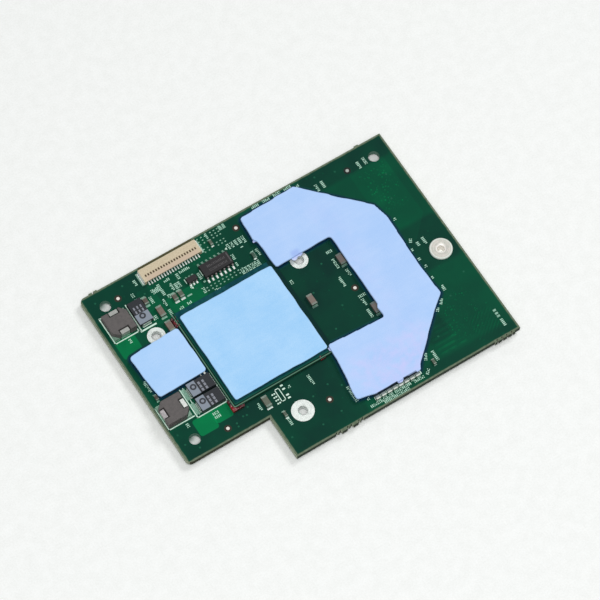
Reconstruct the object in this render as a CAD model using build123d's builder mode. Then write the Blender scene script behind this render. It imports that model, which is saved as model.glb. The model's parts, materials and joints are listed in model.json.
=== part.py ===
from build123d import *
import os

# Graphics card module: a notched circuit board that plugs in from below. Its upper face
# carries the graphics chip, the memory, their thermal pads and the power supply.
# Millimetres. The origin is under the middle of the board, on the surface that the module
# stands on. X runs along the board, and +Y points to the edge with the display connector.

# Circuit board, with a notch in its front left corner
board_length = 93.6
board_width = 67.2
board_thickness = 1.6
notch_length = 24.65
notch_depth = 12.95
notch_inner_radius = 1.2
notch_outer_radius = 2.0
left_corner_radius = 1.5
right_corner_radius = 0.8

# Stubs and bites that the break-off tabs of the panel left in the board's edges
stub_proud = 0.3
bite_radius = 0.35
front_stub_x = -6.0
front_stub_length = 1.6
front_stub_pitch = 3.4
front_bite_pitch = 1.1
corner_stub_inset = 4.8
corner_stub_length = 6.2
corner_bite_pitch = 1.5
corner_bite_count = 4
rear_left_stub_inset = 4.3
rear_left_stub_length = 2.4
rear_right_stub_inset = 7.4
rear_right_stub_length = 1.2

# Plain locating holes, and screw holes for the cooler with a tinned land around each
locating_hole_diameter = 3.1
locating_hole_inset = 5.05
screw_hole_diameter = 2.8
land_thickness = 0.05
rear_land_diameter = 4.9
front_land_diameter = 6.1
rear_screw_holes = ((8.3, 13.2), (-34.9, 14.3))
front_screw_hole = (-14.0, -23.55)

# Nut pressed through the board beside its right edge
nut_inset = 5.05
nut_y = -3.8
nut_bore_diameter = 2.1
nut_dish_diameter = 3.4
nut_dish_depth = 0.35
nut_flange_diameter = 6.2
nut_flange_height = 0.6
nut_flange_chamfer = 0.2
nut_shank_diameter = 4.2
nut_shank_clearance = 0.05

# Board-to-board headers on the underside
header_height = 1.2
header_width = 5.0
header_wall = 0.8
header_slot_width = 1.2
header_end_wall = 0.9
header_end_margin = 2.0
header_pitch = 1.27
header_contact_width = 0.4
header_contact_foot = 0.6
header_contact_tip = 0.25
contact_thickness = 0.15
contact_clearance = 0.05
signal_header_inset = 11.3
signal_header_y = -4.0
signal_header_columns = 25
power_header_place = (-38.0, 2.0)
power_header_columns = 6

# Graphics chip
gpu_place = (-13.45, 1.3)
substrate_side = 31.0
substrate_thickness = 0.65
substrate_chamfer = 0.6
ball_diameter = 0.7
ball_height = 0.45
ball_pitch = 1.27
ball_edge_margin = 1.5
mould_side = 26.0
mould_height = 0.85
mould_corner = 2.0
mould_draft = 15
glue_height = 1.25
glue_overhang = 0.65
glue_width = 1.1
glue_leg = 3.5
glue_bead_width = 1.6
glue_bead_length = 3.0
glue_bead_inset = 0.6
glue_dab_width = 1.2
glue_dab_length = 1.6
glue_dab_overhang = 0.2
glue_dab_inset = 3.05

# Memory chips
memory_places = ((9.5, 22.5), (26.5, 8.5), (26.3, -7.0), (9.0, -21.0))
memory_side = 12.0
memory_height = 0.85
memory_ball_diameter = 0.45
memory_ball_height = 0.35
memory_ball_pitch = 1.6
memory_ball_edge_margin = 1.2

# Thermal pads, cut by hand from sheet
gpu_pad_place = (-13.48, 1.1)
gpu_pad_length = 28.2
gpu_pad_width = 27.8
gpu_pad_thickness = 0.5
gpu_pad_radius = 0.6
memory_pad_thickness = 0.8
memory_pad_radius = 0.7
memory_pad_outline = (
    (1.05, 30.95), (8.0, 31.4), (18.0, 31.5), (18.9, 30.75), (33.35, 15.8), (34.55, 10.6),
    (33.95, -1.0), (33.85, -10.5), (34.3, -14.9), (29.3, -19.0), (18.6, -29.1), (17.5, -30.65),
    (4.6, -30.05), (-1.15, -28.85), (0.85, -16.5), (0.95, -11.95), (17.8, -13.0),
    (17.75, -9.6), (18.3, -9.0), (18.6, 14.2), (1.6, 13.9), (1.4, 22.7), (0.7, 24.0),
)
power_pad_thickness = 0.7
power_pad_radius = 0.9
power_pad_outline = ((-44.65, 12.0), (-29.5, 12.85), (-29.3, -1.6), (-43.8, -1.75))

# Power transistors in eight-lead packages, under the small pad
transistor_columns_x = (-39.4, -31.8)
transistor_rows_y = (1.5, 8.3)
transistor_length = 4.9
transistor_width = 3.9
transistor_height = 1.4
transistor_leads_per_side = 4

# Logic chip with fourteen leads, between the graphics chip and the display connector
logic_x = -11.2
logic_offset = 0.515
logic_length = 8.65
logic_width = 3.9
logic_height = 1.6
logic_leads_per_side = 7

# Leads of the transistors and of the logic chip
body_standoff = 0.12
lead_pitch = 1.27
lead_span = 6.0
lead_width = 0.42
lead_thickness = 0.2
lead_foot = 0.6
package_draft = 7

# Gate chip with six leads, in line with the logic chip
gate_x = -18.7
gate_length = 2.9
gate_width = 1.6
gate_height = 1.05
gate_lead_pitch = 0.95
gate_lead_span = 2.8
gate_lead_width = 0.36
gate_lead_foot = 0.3
gate_lead_thickness = 0.15
gate_leads_per_side = 3

# Chokes
upper_choke_place = (-41.55, 21.95)
lower_choke_place = (-42.4, -6.4)
choke_width = 6.7
choke_length = 7.0
choke_height = 2.8
choke_corner = 1.5
choke_edge = 0.15
choke_recess_width = 3.0
choke_recess_depth = 1.4
clip_width = 2.4
clip_flap = 1.1
clip_thickness = 0.25
clip_height = 2.45
clip_clearance = 0.05
wire_end_height = 0.9
wire_end_clearance = 0.1

# Moulded polymer capacitors
bulk_level_places = ((-32.85, -4.15), (-32.85, -8.75))
bulk_upright_place = (-35.25, 21.9)
bulk_length = 7.0
bulk_width = 4.1
bulk_height = 1.75
bulk_terminal_width = 2.4
bulk_terminal_thickness = 0.15
bulk_terminal_foot = 1.3

# Ceramic capacitors: length, width, height and length of each tinned end
large_ceramic = (3.2, 1.6, 1.1, 0.5)
medium_ceramic = (2.0, 1.25, 0.9, 0.4)
small_ceramic = (1.6, 0.8, 0.8, 0.3)
tiny_ceramic = (1.0, 0.5, 0.5, 0.25)
ceramic_step = 0.03
large_ceramic_places = (
    (-30.4, 19.45), (-30.6, 14.6), (-20.8, -16.7), (4.7, 1.5), (17.6, 7.4), (17.7, -9.15),
)
medium_ceramic_places = ((-32.25, 24.1), (-25.1, 21.05), (-23.3, 21.05))
small_ceramic_places = ((-8.8, 29.6), (-1.2, 20.6), (-44.2, -0.75), (-18.5, -22.15), (22.1, -30.05))
front_row_middle = (10.4, -30.4)
front_row_pitch = 1.745
front_row_count = 8
underside_grid_pitch = (7.0, 6.0)
underside_grid_counts = (3, 3)

# Display connector at the rear edge
connector_x = -21.0
connector_edge_inset = 1.33
connector_length = 17.4
connector_depth = 3.95
connector_height = 1.55
connector_pitch = 0.8
connector_columns = 20
cavity_length = 15.9
cavity_depth = 2.15
cavity_height = 0.7
cavity_floor = 0.4
tail_recess_length = 16.2
tail_recess_depth = 0.45
tail_recess_height = 1.15
tail_width = 0.32
tail_foot = 0.55
tail_height = 1.1
window_inset = 1.5
window_length = 0.45
window_width = 0.35
window_depth = 0.3
nail_length = 3.5
nail_height = 1.2
nail_thickness = 0.2
nail_foot = 0.5

# Levels and edges that follow from the sizes above
underside = header_height
board_top = underside + board_thickness
right_edge = board_length / 2
rear_edge = board_width / 2
notch_y = notch_depth - rear_edge
substrate_top = board_top + ball_height + substrate_thickness
mould_top = substrate_top + mould_height
memory_top = board_top + memory_ball_height + memory_height
memory_pad_bottom = max(memory_top, substrate_top)
power_pad_bottom = board_top + body_standoff + transistor_height
nut_x = right_edge - nut_inset
nut_top = board_top + nut_flange_height
signal_header_x = right_edge - signal_header_inset
connector_rear = rear_edge - connector_edge_inset
connector_front = connector_rear - connector_depth
gpu_x, gpu_y = gpu_place
substrate_half = substrate_side / 2
logic_y = (connector_front + gpu_y + substrate_half) / 2 + logic_offset

os.makedirs("parts", exist_ok=True)


def save(builder, name):
    """Label a finished sub-part and write its file."""
    builder.part.label = name
    export_step(builder.part, "parts/" + name + ".step")


def moulded_body(length, width, height, bottom, seam_height):
    """A package with drafted sides above and below the seam that its leads leave from."""
    seam = bottom + (height - seam_height) / 2
    with BuildPart() as body:
        with BuildSketch(Plane.XY.offset(seam)):
            Rectangle(length, width)
        extrude(amount=seam_height)
        extrude(body.faces().sort_by(Axis.Z)[-1], amount=seam - bottom, taper=package_draft)
        extrude(body.faces().sort_by(Axis.Z)[0], amount=seam - bottom, taper=package_draft)
    return body.part


def gull_lead(body_width, body_height, span, width, thickness, foot):
    """A lead that leaves the seam of a package towards +Y and stands on the board."""
    seam = body_standoff + (body_height - thickness) / 2
    start = body_width / 2
    end = span / 2
    shoulder = (end - foot - start) / 2
    with BuildPart() as lead:
        with BuildSketch(Plane.YZ):
            with BuildLine():
                Polyline(
                    (start, seam),
                    (start + shoulder, seam),
                    (end - foot - thickness / 2, 0),
                    (end, 0),
                    (end, thickness),
                    (end - foot, thickness),
                    (start + shoulder + thickness / 2, seam + thickness),
                    (start, seam + thickness),
                    close=True,
                )
            make_face()
        extrude(amount=width / 2, both=True)
    return lead.part


def ceramic_body(size):
    """The bare middle of a ceramic capacitor that lies along Y."""
    length, width, height, end = size
    with BuildPart() as body:
        with BuildSketch(Plane.XY.offset(ceramic_step)):
            Rectangle(width - 2 * ceramic_step, length - 2 * end)
        extrude(amount=height - 2 * ceramic_step)
    return body.part


def ceramic_ends(size):
    """The two tinned ends of a ceramic capacitor that lies along Y."""
    length, width, height, end = size
    with BuildPart() as ends:
        with BuildSketch():
            with GridLocations(0, length - end, 1, 2):
                Rectangle(width, end)
        extrude(amount=height)
    return ends.part


def on_board(places):
    """Locations on the board's upper face."""
    return Locations(*[(x, y, board_top) for x, y in places])


# Circuit board
with BuildPart() as circuit_board:
    with BuildSketch(Plane.XY.offset(underside)) as board_outline:
        Rectangle(board_length, board_width)
        with Locations((-right_edge, -rear_edge)):
            Rectangle(2 * notch_length, 2 * notch_depth, mode=Mode.SUBTRACT)
        corners = board_outline.vertices()
        fillet(corners.group_by(Axis.X)[0], radius=left_corner_radius)
        fillet(corners.group_by(Axis.X)[-1], radius=right_corner_radius)
        notch_corners = corners.group_by(Axis.X)[1].sort_by(Axis.Y)
        fillet(notch_corners[0], radius=notch_outer_radius)
        fillet(notch_corners[-1], radius=notch_inner_radius)
        with Locations((front_stub_x, -rear_edge)):
            with GridLocations(front_stub_pitch, 0, 2, 1):
                Rectangle(front_stub_length, 2 * stub_proud)
            with GridLocations(front_stub_pitch, 0, 3, 1):
                with GridLocations(front_bite_pitch, 0, 2, 1):
                    RegularPolygon(bite_radius, 6, mode=Mode.SUBTRACT)
        with Locations((right_edge - corner_stub_inset, -rear_edge)):
            Rectangle(corner_stub_length, 2 * stub_proud)
            with GridLocations(corner_bite_pitch, 0, corner_bite_count, 1):
                RegularPolygon(bite_radius, 6, mode=Mode.SUBTRACT)
        with Locations((rear_left_stub_inset - right_edge, rear_edge)):
            Rectangle(rear_left_stub_length, 2 * stub_proud)
            RegularPolygon(bite_radius, 6, mode=Mode.SUBTRACT)
        with Locations((right_edge - rear_right_stub_inset, rear_edge)):
            Rectangle(rear_right_stub_length, 2 * stub_proud)
        hole_x = right_edge - locating_hole_inset
        with Locations(
            (-hole_x, rear_edge - locating_hole_inset),
            (hole_x, rear_edge - locating_hole_inset),
            (-hole_x, notch_y + locating_hole_inset),
        ):
            Circle(locating_hole_diameter / 2, mode=Mode.SUBTRACT)
        with Locations(*rear_screw_holes, front_screw_hole):
            Circle(screw_hole_diameter / 2, mode=Mode.SUBTRACT)
        with Locations((nut_x, nut_y)):
            Circle(nut_shank_diameter / 2 + nut_shank_clearance, mode=Mode.SUBTRACT)
    extrude(amount=board_thickness)
save(circuit_board, "circuit_board")


# Tinned lands around the cooler's screw holes
with BuildPart() as screw_hole_lands:
    with BuildSketch(Plane.XY.offset(board_top)):
        with Locations(*rear_screw_holes):
            Circle(rear_land_diameter / 2)
        with Locations(front_screw_hole):
            Circle(front_land_diameter / 2)
        with Locations(*rear_screw_holes, front_screw_hole):
            Circle(screw_hole_diameter / 2, mode=Mode.SUBTRACT)
    extrude(amount=land_thickness)
save(screw_hole_lands, "screw_hole_lands")

# Pressed nut, whose flange lies on the board and whose shank reaches below it
with BuildPart() as press_nut:
    with BuildSketch(Plane((nut_x, nut_y, 0), x_dir=(1, 0, 0), z_dir=(0, -1, 0))):
        with BuildLine():
            Polyline(
                (nut_bore_diameter / 2, 0),
                (nut_shank_diameter / 2, 0),
                (nut_shank_diameter / 2, board_top),
                (nut_flange_diameter / 2, board_top),
                (nut_flange_diameter / 2, nut_top - nut_flange_chamfer),
                (nut_flange_diameter / 2 - nut_flange_chamfer, nut_top),
                (nut_dish_diameter / 2, nut_top),
                (nut_bore_diameter / 2, nut_top - nut_dish_depth),
                close=True,
            )
        make_face()
    revolve(axis=Axis((nut_x, nut_y, 0), (0, 0, 1)))
save(press_nut, "press_nut")

# Carrier of the graphics chip
with BuildPart() as gpu_substrate:
    with BuildSketch(Plane.XY.offset(board_top + ball_height)) as carrier_outline:
        with Locations(gpu_place):
            Rectangle(substrate_side, substrate_side)
        chamfer(carrier_outline.vertices(), length=substrate_chamfer)
    extrude(amount=substrate_thickness)
save(gpu_substrate, "gpu_substrate")

# Outer ring of solder balls under the carrier
balls_per_side = int((substrate_side - 2 * ball_edge_margin) / ball_pitch) + 1
ball_ring = (balls_per_side - 1) * ball_pitch
with BuildPart() as gpu_solder_balls:
    with BuildSketch(Plane.XY.offset(board_top)):
        with Locations(gpu_place):
            with GridLocations(ball_pitch, ball_ring, balls_per_side, 2):
                RegularPolygon(ball_diameter / 2, 4)
            with GridLocations(ball_ring, ball_pitch, 2, balls_per_side - 2):
                RegularPolygon(ball_diameter / 2, 4)
    extrude(amount=ball_height)
save(gpu_solder_balls, "gpu_solder_balls")

# Moulded cap over the graphics chip, with drafted sides and cut corners
with BuildPart() as gpu_mould_cap:
    with BuildSketch(Plane.XY.offset(substrate_top)) as cap_outline:
        with Locations(gpu_place):
            Rectangle(mould_side, mould_side)
        chamfer(cap_outline.vertices(), length=mould_corner)
    extrude(amount=mould_height, taper=mould_draft)
save(gpu_mould_cap, "gpu_mould_cap")

# Adhesive that stakes the carrier to the board and laps over its edge
glue_x = gpu_x - substrate_half - glue_overhang
glue_y = gpu_y - substrate_half - glue_overhang
with BuildPart() as gpu_corner_glue:
    with BuildSketch(Plane.XY.offset(board_top)):
        with Locations((glue_x, glue_y)):
            Rectangle(glue_width, glue_leg, align=(Align.MIN, Align.MIN))
            Rectangle(glue_leg, glue_width, align=(Align.MIN, Align.MIN))
        with Locations((glue_x, gpu_y + substrate_half - glue_bead_inset)):
            Rectangle(glue_bead_width, glue_bead_length, align=(Align.MIN, Align.MAX))
        with Locations((gpu_x + substrate_half - glue_dab_inset, gpu_y - substrate_half)):
            with Locations((0, -glue_dab_overhang)):
                Rectangle(glue_dab_length, glue_dab_width, align=(Align.MAX, Align.MIN))
    extrude(amount=glue_height)
    add(gpu_substrate.part, mode=Mode.SUBTRACT)
save(gpu_corner_glue, "gpu_corner_glue")

# Thermal pad on the graphics chip
with BuildPart() as gpu_thermal_pad:
    with BuildSketch(Plane.XY.offset(mould_top)) as gpu_pad_sketch:
        with Locations(gpu_pad_place):
            Rectangle(gpu_pad_length, gpu_pad_width)
        fillet(gpu_pad_sketch.vertices(), radius=gpu_pad_radius)
    extrude(amount=gpu_pad_thickness)
save(gpu_thermal_pad, "gpu_thermal_pad")

# Memory chips
with BuildPart() as memory_chips:
    with BuildSketch(Plane.XY.offset(board_top + memory_ball_height)):
        with Locations(*memory_places):
            Rectangle(memory_side, memory_side)
    extrude(amount=memory_height)
save(memory_chips, "memory_chips")

# Outer rows of solder balls under the memory chips
memory_ball_rows = memory_side - 2 * memory_ball_edge_margin
memory_balls_per_row = int(memory_ball_rows / memory_ball_pitch) + 1
with BuildPart() as memory_solder_balls:
    with BuildSketch(Plane.XY.offset(board_top)):
        with Locations(*memory_places):
            with GridLocations(memory_ball_pitch, memory_ball_rows, memory_balls_per_row, 2):
                RegularPolygon(memory_ball_diameter / 2, 4)
    extrude(amount=memory_ball_height)
save(memory_solder_balls, "memory_solder_balls")

# C-shaped thermal pad over the memory chips
with BuildPart() as memory_thermal_pad:
    with BuildSketch(Plane.XY.offset(memory_pad_bottom)) as memory_pad_sketch:
        with BuildLine():
            Polyline(*memory_pad_outline, close=True)
        make_face()
        fillet(memory_pad_sketch.vertices(), radius=memory_pad_radius)
    extrude(amount=memory_pad_thickness)
save(memory_thermal_pad, "memory_thermal_pad")

# Power transistors and their leads
transistor_places = [(x, y) for x in transistor_columns_x for y in transistor_rows_y]
transistor_body = moulded_body(
    transistor_length, transistor_width, transistor_height, body_standoff, lead_thickness
)
transistor_lead = gull_lead(
    transistor_width, transistor_height, lead_span, lead_width, lead_thickness, lead_foot
)
with BuildPart() as power_transistors:
    with on_board(transistor_places):
        add(transistor_body)
save(power_transistors, "power_transistors")

with BuildPart() as power_transistor_leads:
    with on_board(transistor_places):
        with GridLocations(lead_pitch, 0, transistor_leads_per_side, 1):
            add(transistor_lead)
            add(transistor_lead, rotation=(0, 0, 180))
save(power_transistor_leads, "power_transistor_leads")

# Thermal pad over the power transistors
with BuildPart() as power_thermal_pad:
    with BuildSketch(Plane.XY.offset(power_pad_bottom)) as power_pad_sketch:
        with BuildLine():
            Polyline(*power_pad_outline, close=True)
        make_face()
        fillet(power_pad_sketch.vertices(), radius=power_pad_radius)
    extrude(amount=power_pad_thickness)
save(power_thermal_pad, "power_thermal_pad")

# Logic chip and its leads
logic_body = moulded_body(logic_length, logic_width, logic_height, body_standoff, lead_thickness)
logic_lead = gull_lead(logic_width, logic_height, lead_span, lead_width, lead_thickness, lead_foot)
with BuildPart() as logic_chip:
    with on_board([(logic_x, logic_y)]):
        add(logic_body)
save(logic_chip, "logic_chip")

with BuildPart() as logic_chip_leads:
    with on_board([(logic_x, logic_y)]):
        with GridLocations(lead_pitch, 0, logic_leads_per_side, 1):
            add(logic_lead)
            add(logic_lead, rotation=(0, 0, 180))
save(logic_chip_leads, "logic_chip_leads")

# Gate chip and its leads
gate_body = moulded_body(gate_length, gate_width, gate_height, body_standoff, gate_lead_thickness)
gate_lead = gull_lead(
    gate_width, gate_height, gate_lead_span, gate_lead_width, gate_lead_thickness, gate_lead_foot
)
with BuildPart() as gate_chip:
    with on_board([(gate_x, logic_y)]):
        add(gate_body)
save(gate_chip, "gate_chip")

with BuildPart() as gate_chip_leads:
    with on_board([(gate_x, logic_y)]):
        with GridLocations(gate_lead_pitch, 0, gate_leads_per_side, 1):
            add(gate_lead)
            add(gate_lead, rotation=(0, 0, 180))
save(gate_chip_leads, "gate_chip_leads")


# Chokes: a pressed core with a recess for a clip in two sides, and two cut corners
def choke_core():
    """The core, with its clip recesses in the sides that face along Y."""
    with BuildPart() as core:
        with BuildSketch() as core_outline:
            Rectangle(choke_width, choke_length)
            diagonal = core_outline.vertices().sort_by(lambda corner: corner.X + corner.Y)
            chamfer([diagonal[0], diagonal[-1]], length=choke_corner)
            with GridLocations(0, choke_length, 1, 2):
                Rectangle(choke_recess_width, 2 * choke_recess_depth, mode=Mode.SUBTRACT)
        extrude(amount=choke_height)
        chamfer(core.faces().sort_by(Axis.Z)[-1].edges(), length=choke_edge)
    return core.part


def choke_clip():
    """A clip folded over the side that faces +Y, from the board to a flap on top."""
    outside = choke_length / 2
    back = outside - choke_recess_depth + clip_clearance
    with BuildPart() as clip:
        with BuildSketch(Plane.YZ):
            with BuildLine():
                Polyline(
                    (back, 0),
                    (outside, 0),
                    (outside, clip_height),
                    (outside - clip_flap, clip_height),
                    (outside - clip_flap, clip_height - clip_thickness),
                    (outside - clip_thickness, clip_height - clip_thickness),
                    (outside - clip_thickness, clip_thickness),
                    (back, clip_thickness),
                    close=True,
                )
            make_face()
        extrude(amount=clip_width / 2, both=True)
    return clip.part


def choke_wire_end():
    """The soldered end of the winding, in the cut corner at +X and +Y."""
    leg = choke_corner - wire_end_clearance
    with BuildPart() as wire_end:
        with BuildSketch():
            with BuildLine():
                Polyline(
                    (choke_width / 2, choke_length / 2),
                    (choke_width / 2 - leg, choke_length / 2),
                    (choke_width / 2, choke_length / 2 - leg),
                    close=True,
                )
            make_face()
        extrude(amount=wire_end_height)
    return wire_end.part


core = choke_core()
clip = choke_clip()
wire_end = choke_wire_end()
with BuildPart() as choke_cores:
    with on_board([upper_choke_place]):
        add(core)
    with on_board([lower_choke_place]):
        add(core, rotation=(0, 0, 90))
save(choke_cores, "choke_cores")

with BuildPart() as choke_terminals:
    for turn in (0, 180):
        with on_board([upper_choke_place]):
            add([clip, wire_end], rotation=(0, 0, turn))
        with on_board([lower_choke_place]):
            add([clip, wire_end], rotation=(0, 0, turn + 90))
save(choke_terminals, "choke_terminals")


# Moulded polymer capacitors, whose terminals fold under the body
def bulk_terminal():
    """The terminal that leaves the seam at the +X end and folds under the body."""
    seam = bulk_terminal_thickness + (bulk_height - bulk_terminal_thickness) / 2
    end = bulk_length / 2
    with BuildPart() as terminal:
        with BuildSketch(Plane.XZ):
            with BuildLine():
                Polyline(
                    (end - bulk_terminal_foot, 0),
                    (end + bulk_terminal_thickness, 0),
                    (end + bulk_terminal_thickness, seam + bulk_terminal_thickness),
                    (end, seam + bulk_terminal_thickness),
                    (end, bulk_terminal_thickness),
                    (end - bulk_terminal_foot, bulk_terminal_thickness),
                    close=True,
                )
            make_face()
        extrude(amount=bulk_terminal_width / 2, both=True)
    return terminal.part


bulk_body = moulded_body(
    bulk_length, bulk_width, bulk_height, bulk_terminal_thickness, bulk_terminal_thickness
)
terminal = bulk_terminal()
with BuildPart() as bulk_capacitors:
    with on_board(bulk_level_places):
        add(bulk_body)
    with on_board([bulk_upright_place]):
        add(bulk_body, rotation=(0, 0, 90))
save(bulk_capacitors, "bulk_capacitors")

with BuildPart() as bulk_capacitor_terminals:
    for turn in (0, 180):
        with on_board(bulk_level_places):
            add(terminal, rotation=(0, 0, turn))
        with on_board([bulk_upright_place]):
            add(terminal, rotation=(0, 0, turn + 90))
save(bulk_capacitor_terminals, "bulk_capacitor_terminals")

# Large ceramic capacitors
with BuildPart() as large_ceramic_capacitors:
    with on_board(large_ceramic_places):
        add(ceramic_body(large_ceramic))
save(large_ceramic_capacitors, "large_ceramic_capacitors")

with BuildPart() as large_ceramic_ends:
    with on_board(large_ceramic_places):
        add(ceramic_ends(large_ceramic))
save(large_ceramic_ends, "large_ceramic_ends")

# Small ceramic capacitors of two sizes, with a row beside the front edge
row_x, row_y = front_row_middle
row_start = row_x - (front_row_count - 1) * front_row_pitch / 2
row_places = [(row_start + step * front_row_pitch, row_y) for step in range(front_row_count)]
with BuildPart() as small_ceramic_capacitors:
    with on_board([*medium_ceramic_places, *row_places]):
        add(ceramic_body(medium_ceramic))
    with on_board(small_ceramic_places):
        add(ceramic_body(small_ceramic))
save(small_ceramic_capacitors, "small_ceramic_capacitors")

with BuildPart() as small_ceramic_ends:
    with on_board([*medium_ceramic_places, *row_places]):
        add(ceramic_ends(medium_ceramic))
    with on_board(small_ceramic_places):
        add(ceramic_ends(small_ceramic))
save(small_ceramic_ends, "small_ceramic_ends")

# Display connector: open towards the rear edge, undercut in front for its contacts' tails,
# and with a window over each contact
with BuildPart() as display_connector_housing:
    with BuildSketch(Plane.XY.offset(board_top)):
        with Locations((connector_x, connector_front)):
            Rectangle(connector_length, connector_depth, align=(Align.CENTER, Align.MIN))
    extrude(amount=connector_height)
    with BuildSketch(Plane.XY.offset(board_top + cavity_floor)):
        with Locations((connector_x, connector_rear)):
            Rectangle(cavity_length, cavity_depth, align=(Align.CENTER, Align.MAX))
    extrude(amount=cavity_height, mode=Mode.SUBTRACT)
    with BuildSketch(Plane.XY.offset(board_top)):
        with Locations((connector_x, connector_front)):
            Rectangle(tail_recess_length, 2 * tail_recess_depth)
    extrude(amount=tail_recess_height, mode=Mode.SUBTRACT)
    with BuildSketch(Plane.XY.offset(board_top + connector_height)):
        with Locations((connector_x, connector_front + window_inset)):
            with GridLocations(connector_pitch, 0, connector_columns, 1):
                Rectangle(window_width, window_length)
    extrude(amount=-window_depth, mode=Mode.SUBTRACT)
save(display_connector_housing, "display_connector_housing")

# Tails of the display connector's contacts, each standing under the front of the housing
tail_back = connector_front + tail_recess_depth - contact_clearance
with BuildPart() as display_connector_contacts:
    with BuildSketch(Plane.YZ.offset(connector_x)):
        with BuildLine():
            Polyline(
                (connector_front - tail_foot, board_top),
                (tail_back, board_top),
                (tail_back, board_top + tail_height),
                (tail_back - contact_thickness, board_top + tail_height),
                (tail_back - contact_thickness, board_top + contact_thickness),
                (connector_front - tail_foot, board_top + contact_thickness),
                close=True,
            )
        make_face()
    tail = extrude(amount=tail_width / 2, both=True, mode=Mode.PRIVATE)
    with GridLocations(connector_pitch, 0, connector_columns, 1):
        add(tail)
save(display_connector_contacts, "display_connector_contacts")

# Metal nails that hold the display connector's ends to the board
nail_face = connector_length / 2
nail_origin = (connector_x, (connector_front + connector_rear) / 2, board_top)
with BuildPart() as display_connector_nails:
    with BuildSketch(Plane(nail_origin, x_dir=(1, 0, 0), z_dir=(0, -1, 0))):
        with BuildLine():
            Polyline(
                (nail_face, 0),
                (nail_face + nail_foot, 0),
                (nail_face + nail_foot, nail_thickness),
                (nail_face + nail_thickness, nail_thickness),
                (nail_face + nail_thickness, nail_height),
                (nail_face, nail_height),
                close=True,
            )
        make_face()
    extrude(amount=nail_length / 2, both=True)
    mirror(about=Plane.YZ.offset(connector_x))
save(display_connector_nails, "display_connector_nails")


# Board-to-board headers, each with two rows of contacts in open slots
def header_length(columns):
    """The length of a header's housing."""
    return (columns - 1) * header_pitch + 2 * header_end_margin


def header_housing(columns):
    """A housing that stands on z = 0 and meets the board with a pad at each end."""
    length = header_length(columns)
    slot_middle = header_width - 2 * header_wall - header_slot_width
    with BuildPart() as housing:
        with BuildSketch():
            Rectangle(header_width, length)
            with GridLocations(slot_middle, 0, 2, 1):
                Rectangle(header_slot_width, length - 2 * header_end_wall, mode=Mode.SUBTRACT)
        extrude(amount=header_height - contact_thickness)
        with BuildSketch(Plane.XY.offset(header_height - contact_thickness)):
            with GridLocations(0, length - header_end_wall, 1, 2):
                Rectangle(header_width, header_end_wall)
        extrude(amount=contact_thickness)
    return housing.part


def header_contacts(columns):
    """Two rows of contacts, with a foot outside the housing and a blade in its slot."""
    blade = header_width / 2 - header_wall - contact_clearance
    foot_end = header_width / 2 + header_contact_foot
    foot_face = header_height - contact_thickness
    with BuildPart() as one_contact:
        with BuildSketch(Plane.XZ):
            with BuildLine():
                Polyline(
                    (foot_end, header_height),
                    (foot_end, foot_face),
                    (blade, foot_face),
                    (blade, header_contact_tip),
                    (blade - contact_thickness, header_contact_tip),
                    (blade - contact_thickness, header_height),
                    close=True,
                )
            make_face()
        extrude(amount=header_contact_width / 2, both=True)
    with BuildPart() as rows:
        with GridLocations(0, header_pitch, 1, columns):
            add(one_contact.part)
            add(one_contact.part, rotation=(0, 0, 180))
    return rows.part


signal_housing = header_housing(signal_header_columns)
signal_contacts = header_contacts(signal_header_columns)
power_housing = header_housing(power_header_columns)
power_contacts = header_contacts(power_header_columns)
with BuildPart() as signal_header_housing:
    with Locations((signal_header_x, signal_header_y)):
        add(signal_housing)
save(signal_header_housing, "signal_header_housing")

with BuildPart() as signal_header_contacts:
    with Locations((signal_header_x, signal_header_y)):
        add(signal_contacts)
save(signal_header_contacts, "signal_header_contacts")

with BuildPart() as power_header_housing:
    with Locations(power_header_place):
        add(power_housing)
save(power_header_housing, "power_header_housing")

with BuildPart() as power_header_contacts:
    with Locations(power_header_place):
        add(power_contacts)
save(power_header_contacts, "power_header_contacts")

# Small capacitors on the underside, below the graphics chip
tiny_height = tiny_ceramic[2]
with BuildPart() as underside_capacitors:
    with Locations((gpu_x, gpu_y, underside - tiny_height)):
        with GridLocations(*underside_grid_pitch, *underside_grid_counts):
            add(ceramic_body(tiny_ceramic))
save(underside_capacitors, "underside_capacitors")

with BuildPart() as underside_capacitor_ends:
    with Locations((gpu_x, gpu_y, underside - tiny_height)):
        with GridLocations(*underside_grid_pitch, *underside_grid_counts):
            add(ceramic_ends(tiny_ceramic))
save(underside_capacitor_ends, "underside_capacitor_ends")
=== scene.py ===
import json
import math
import random

import bmesh
import bpy
from mathutils import Matrix, Vector, noise


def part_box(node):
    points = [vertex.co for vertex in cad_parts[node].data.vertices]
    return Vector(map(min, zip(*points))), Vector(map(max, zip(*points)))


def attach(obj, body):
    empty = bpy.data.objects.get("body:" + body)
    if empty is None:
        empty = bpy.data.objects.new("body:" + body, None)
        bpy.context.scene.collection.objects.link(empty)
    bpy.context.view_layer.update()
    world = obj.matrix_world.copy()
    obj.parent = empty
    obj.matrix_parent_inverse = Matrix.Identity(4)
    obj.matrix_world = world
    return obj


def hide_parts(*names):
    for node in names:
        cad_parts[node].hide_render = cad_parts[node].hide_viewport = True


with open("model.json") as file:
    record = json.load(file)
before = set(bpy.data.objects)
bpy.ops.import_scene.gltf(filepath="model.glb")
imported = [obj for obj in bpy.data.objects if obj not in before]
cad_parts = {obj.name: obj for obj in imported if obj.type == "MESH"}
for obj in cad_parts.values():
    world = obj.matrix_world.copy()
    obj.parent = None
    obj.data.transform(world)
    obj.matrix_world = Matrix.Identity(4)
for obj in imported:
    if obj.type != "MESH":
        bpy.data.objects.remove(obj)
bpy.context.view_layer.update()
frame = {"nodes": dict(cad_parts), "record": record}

# Graphics card module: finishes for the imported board, and the fine pieces that lie on it.
# Lengths are millimetres on the board, and each piece is brought to metres once it is made.

MM = 0.001

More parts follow.
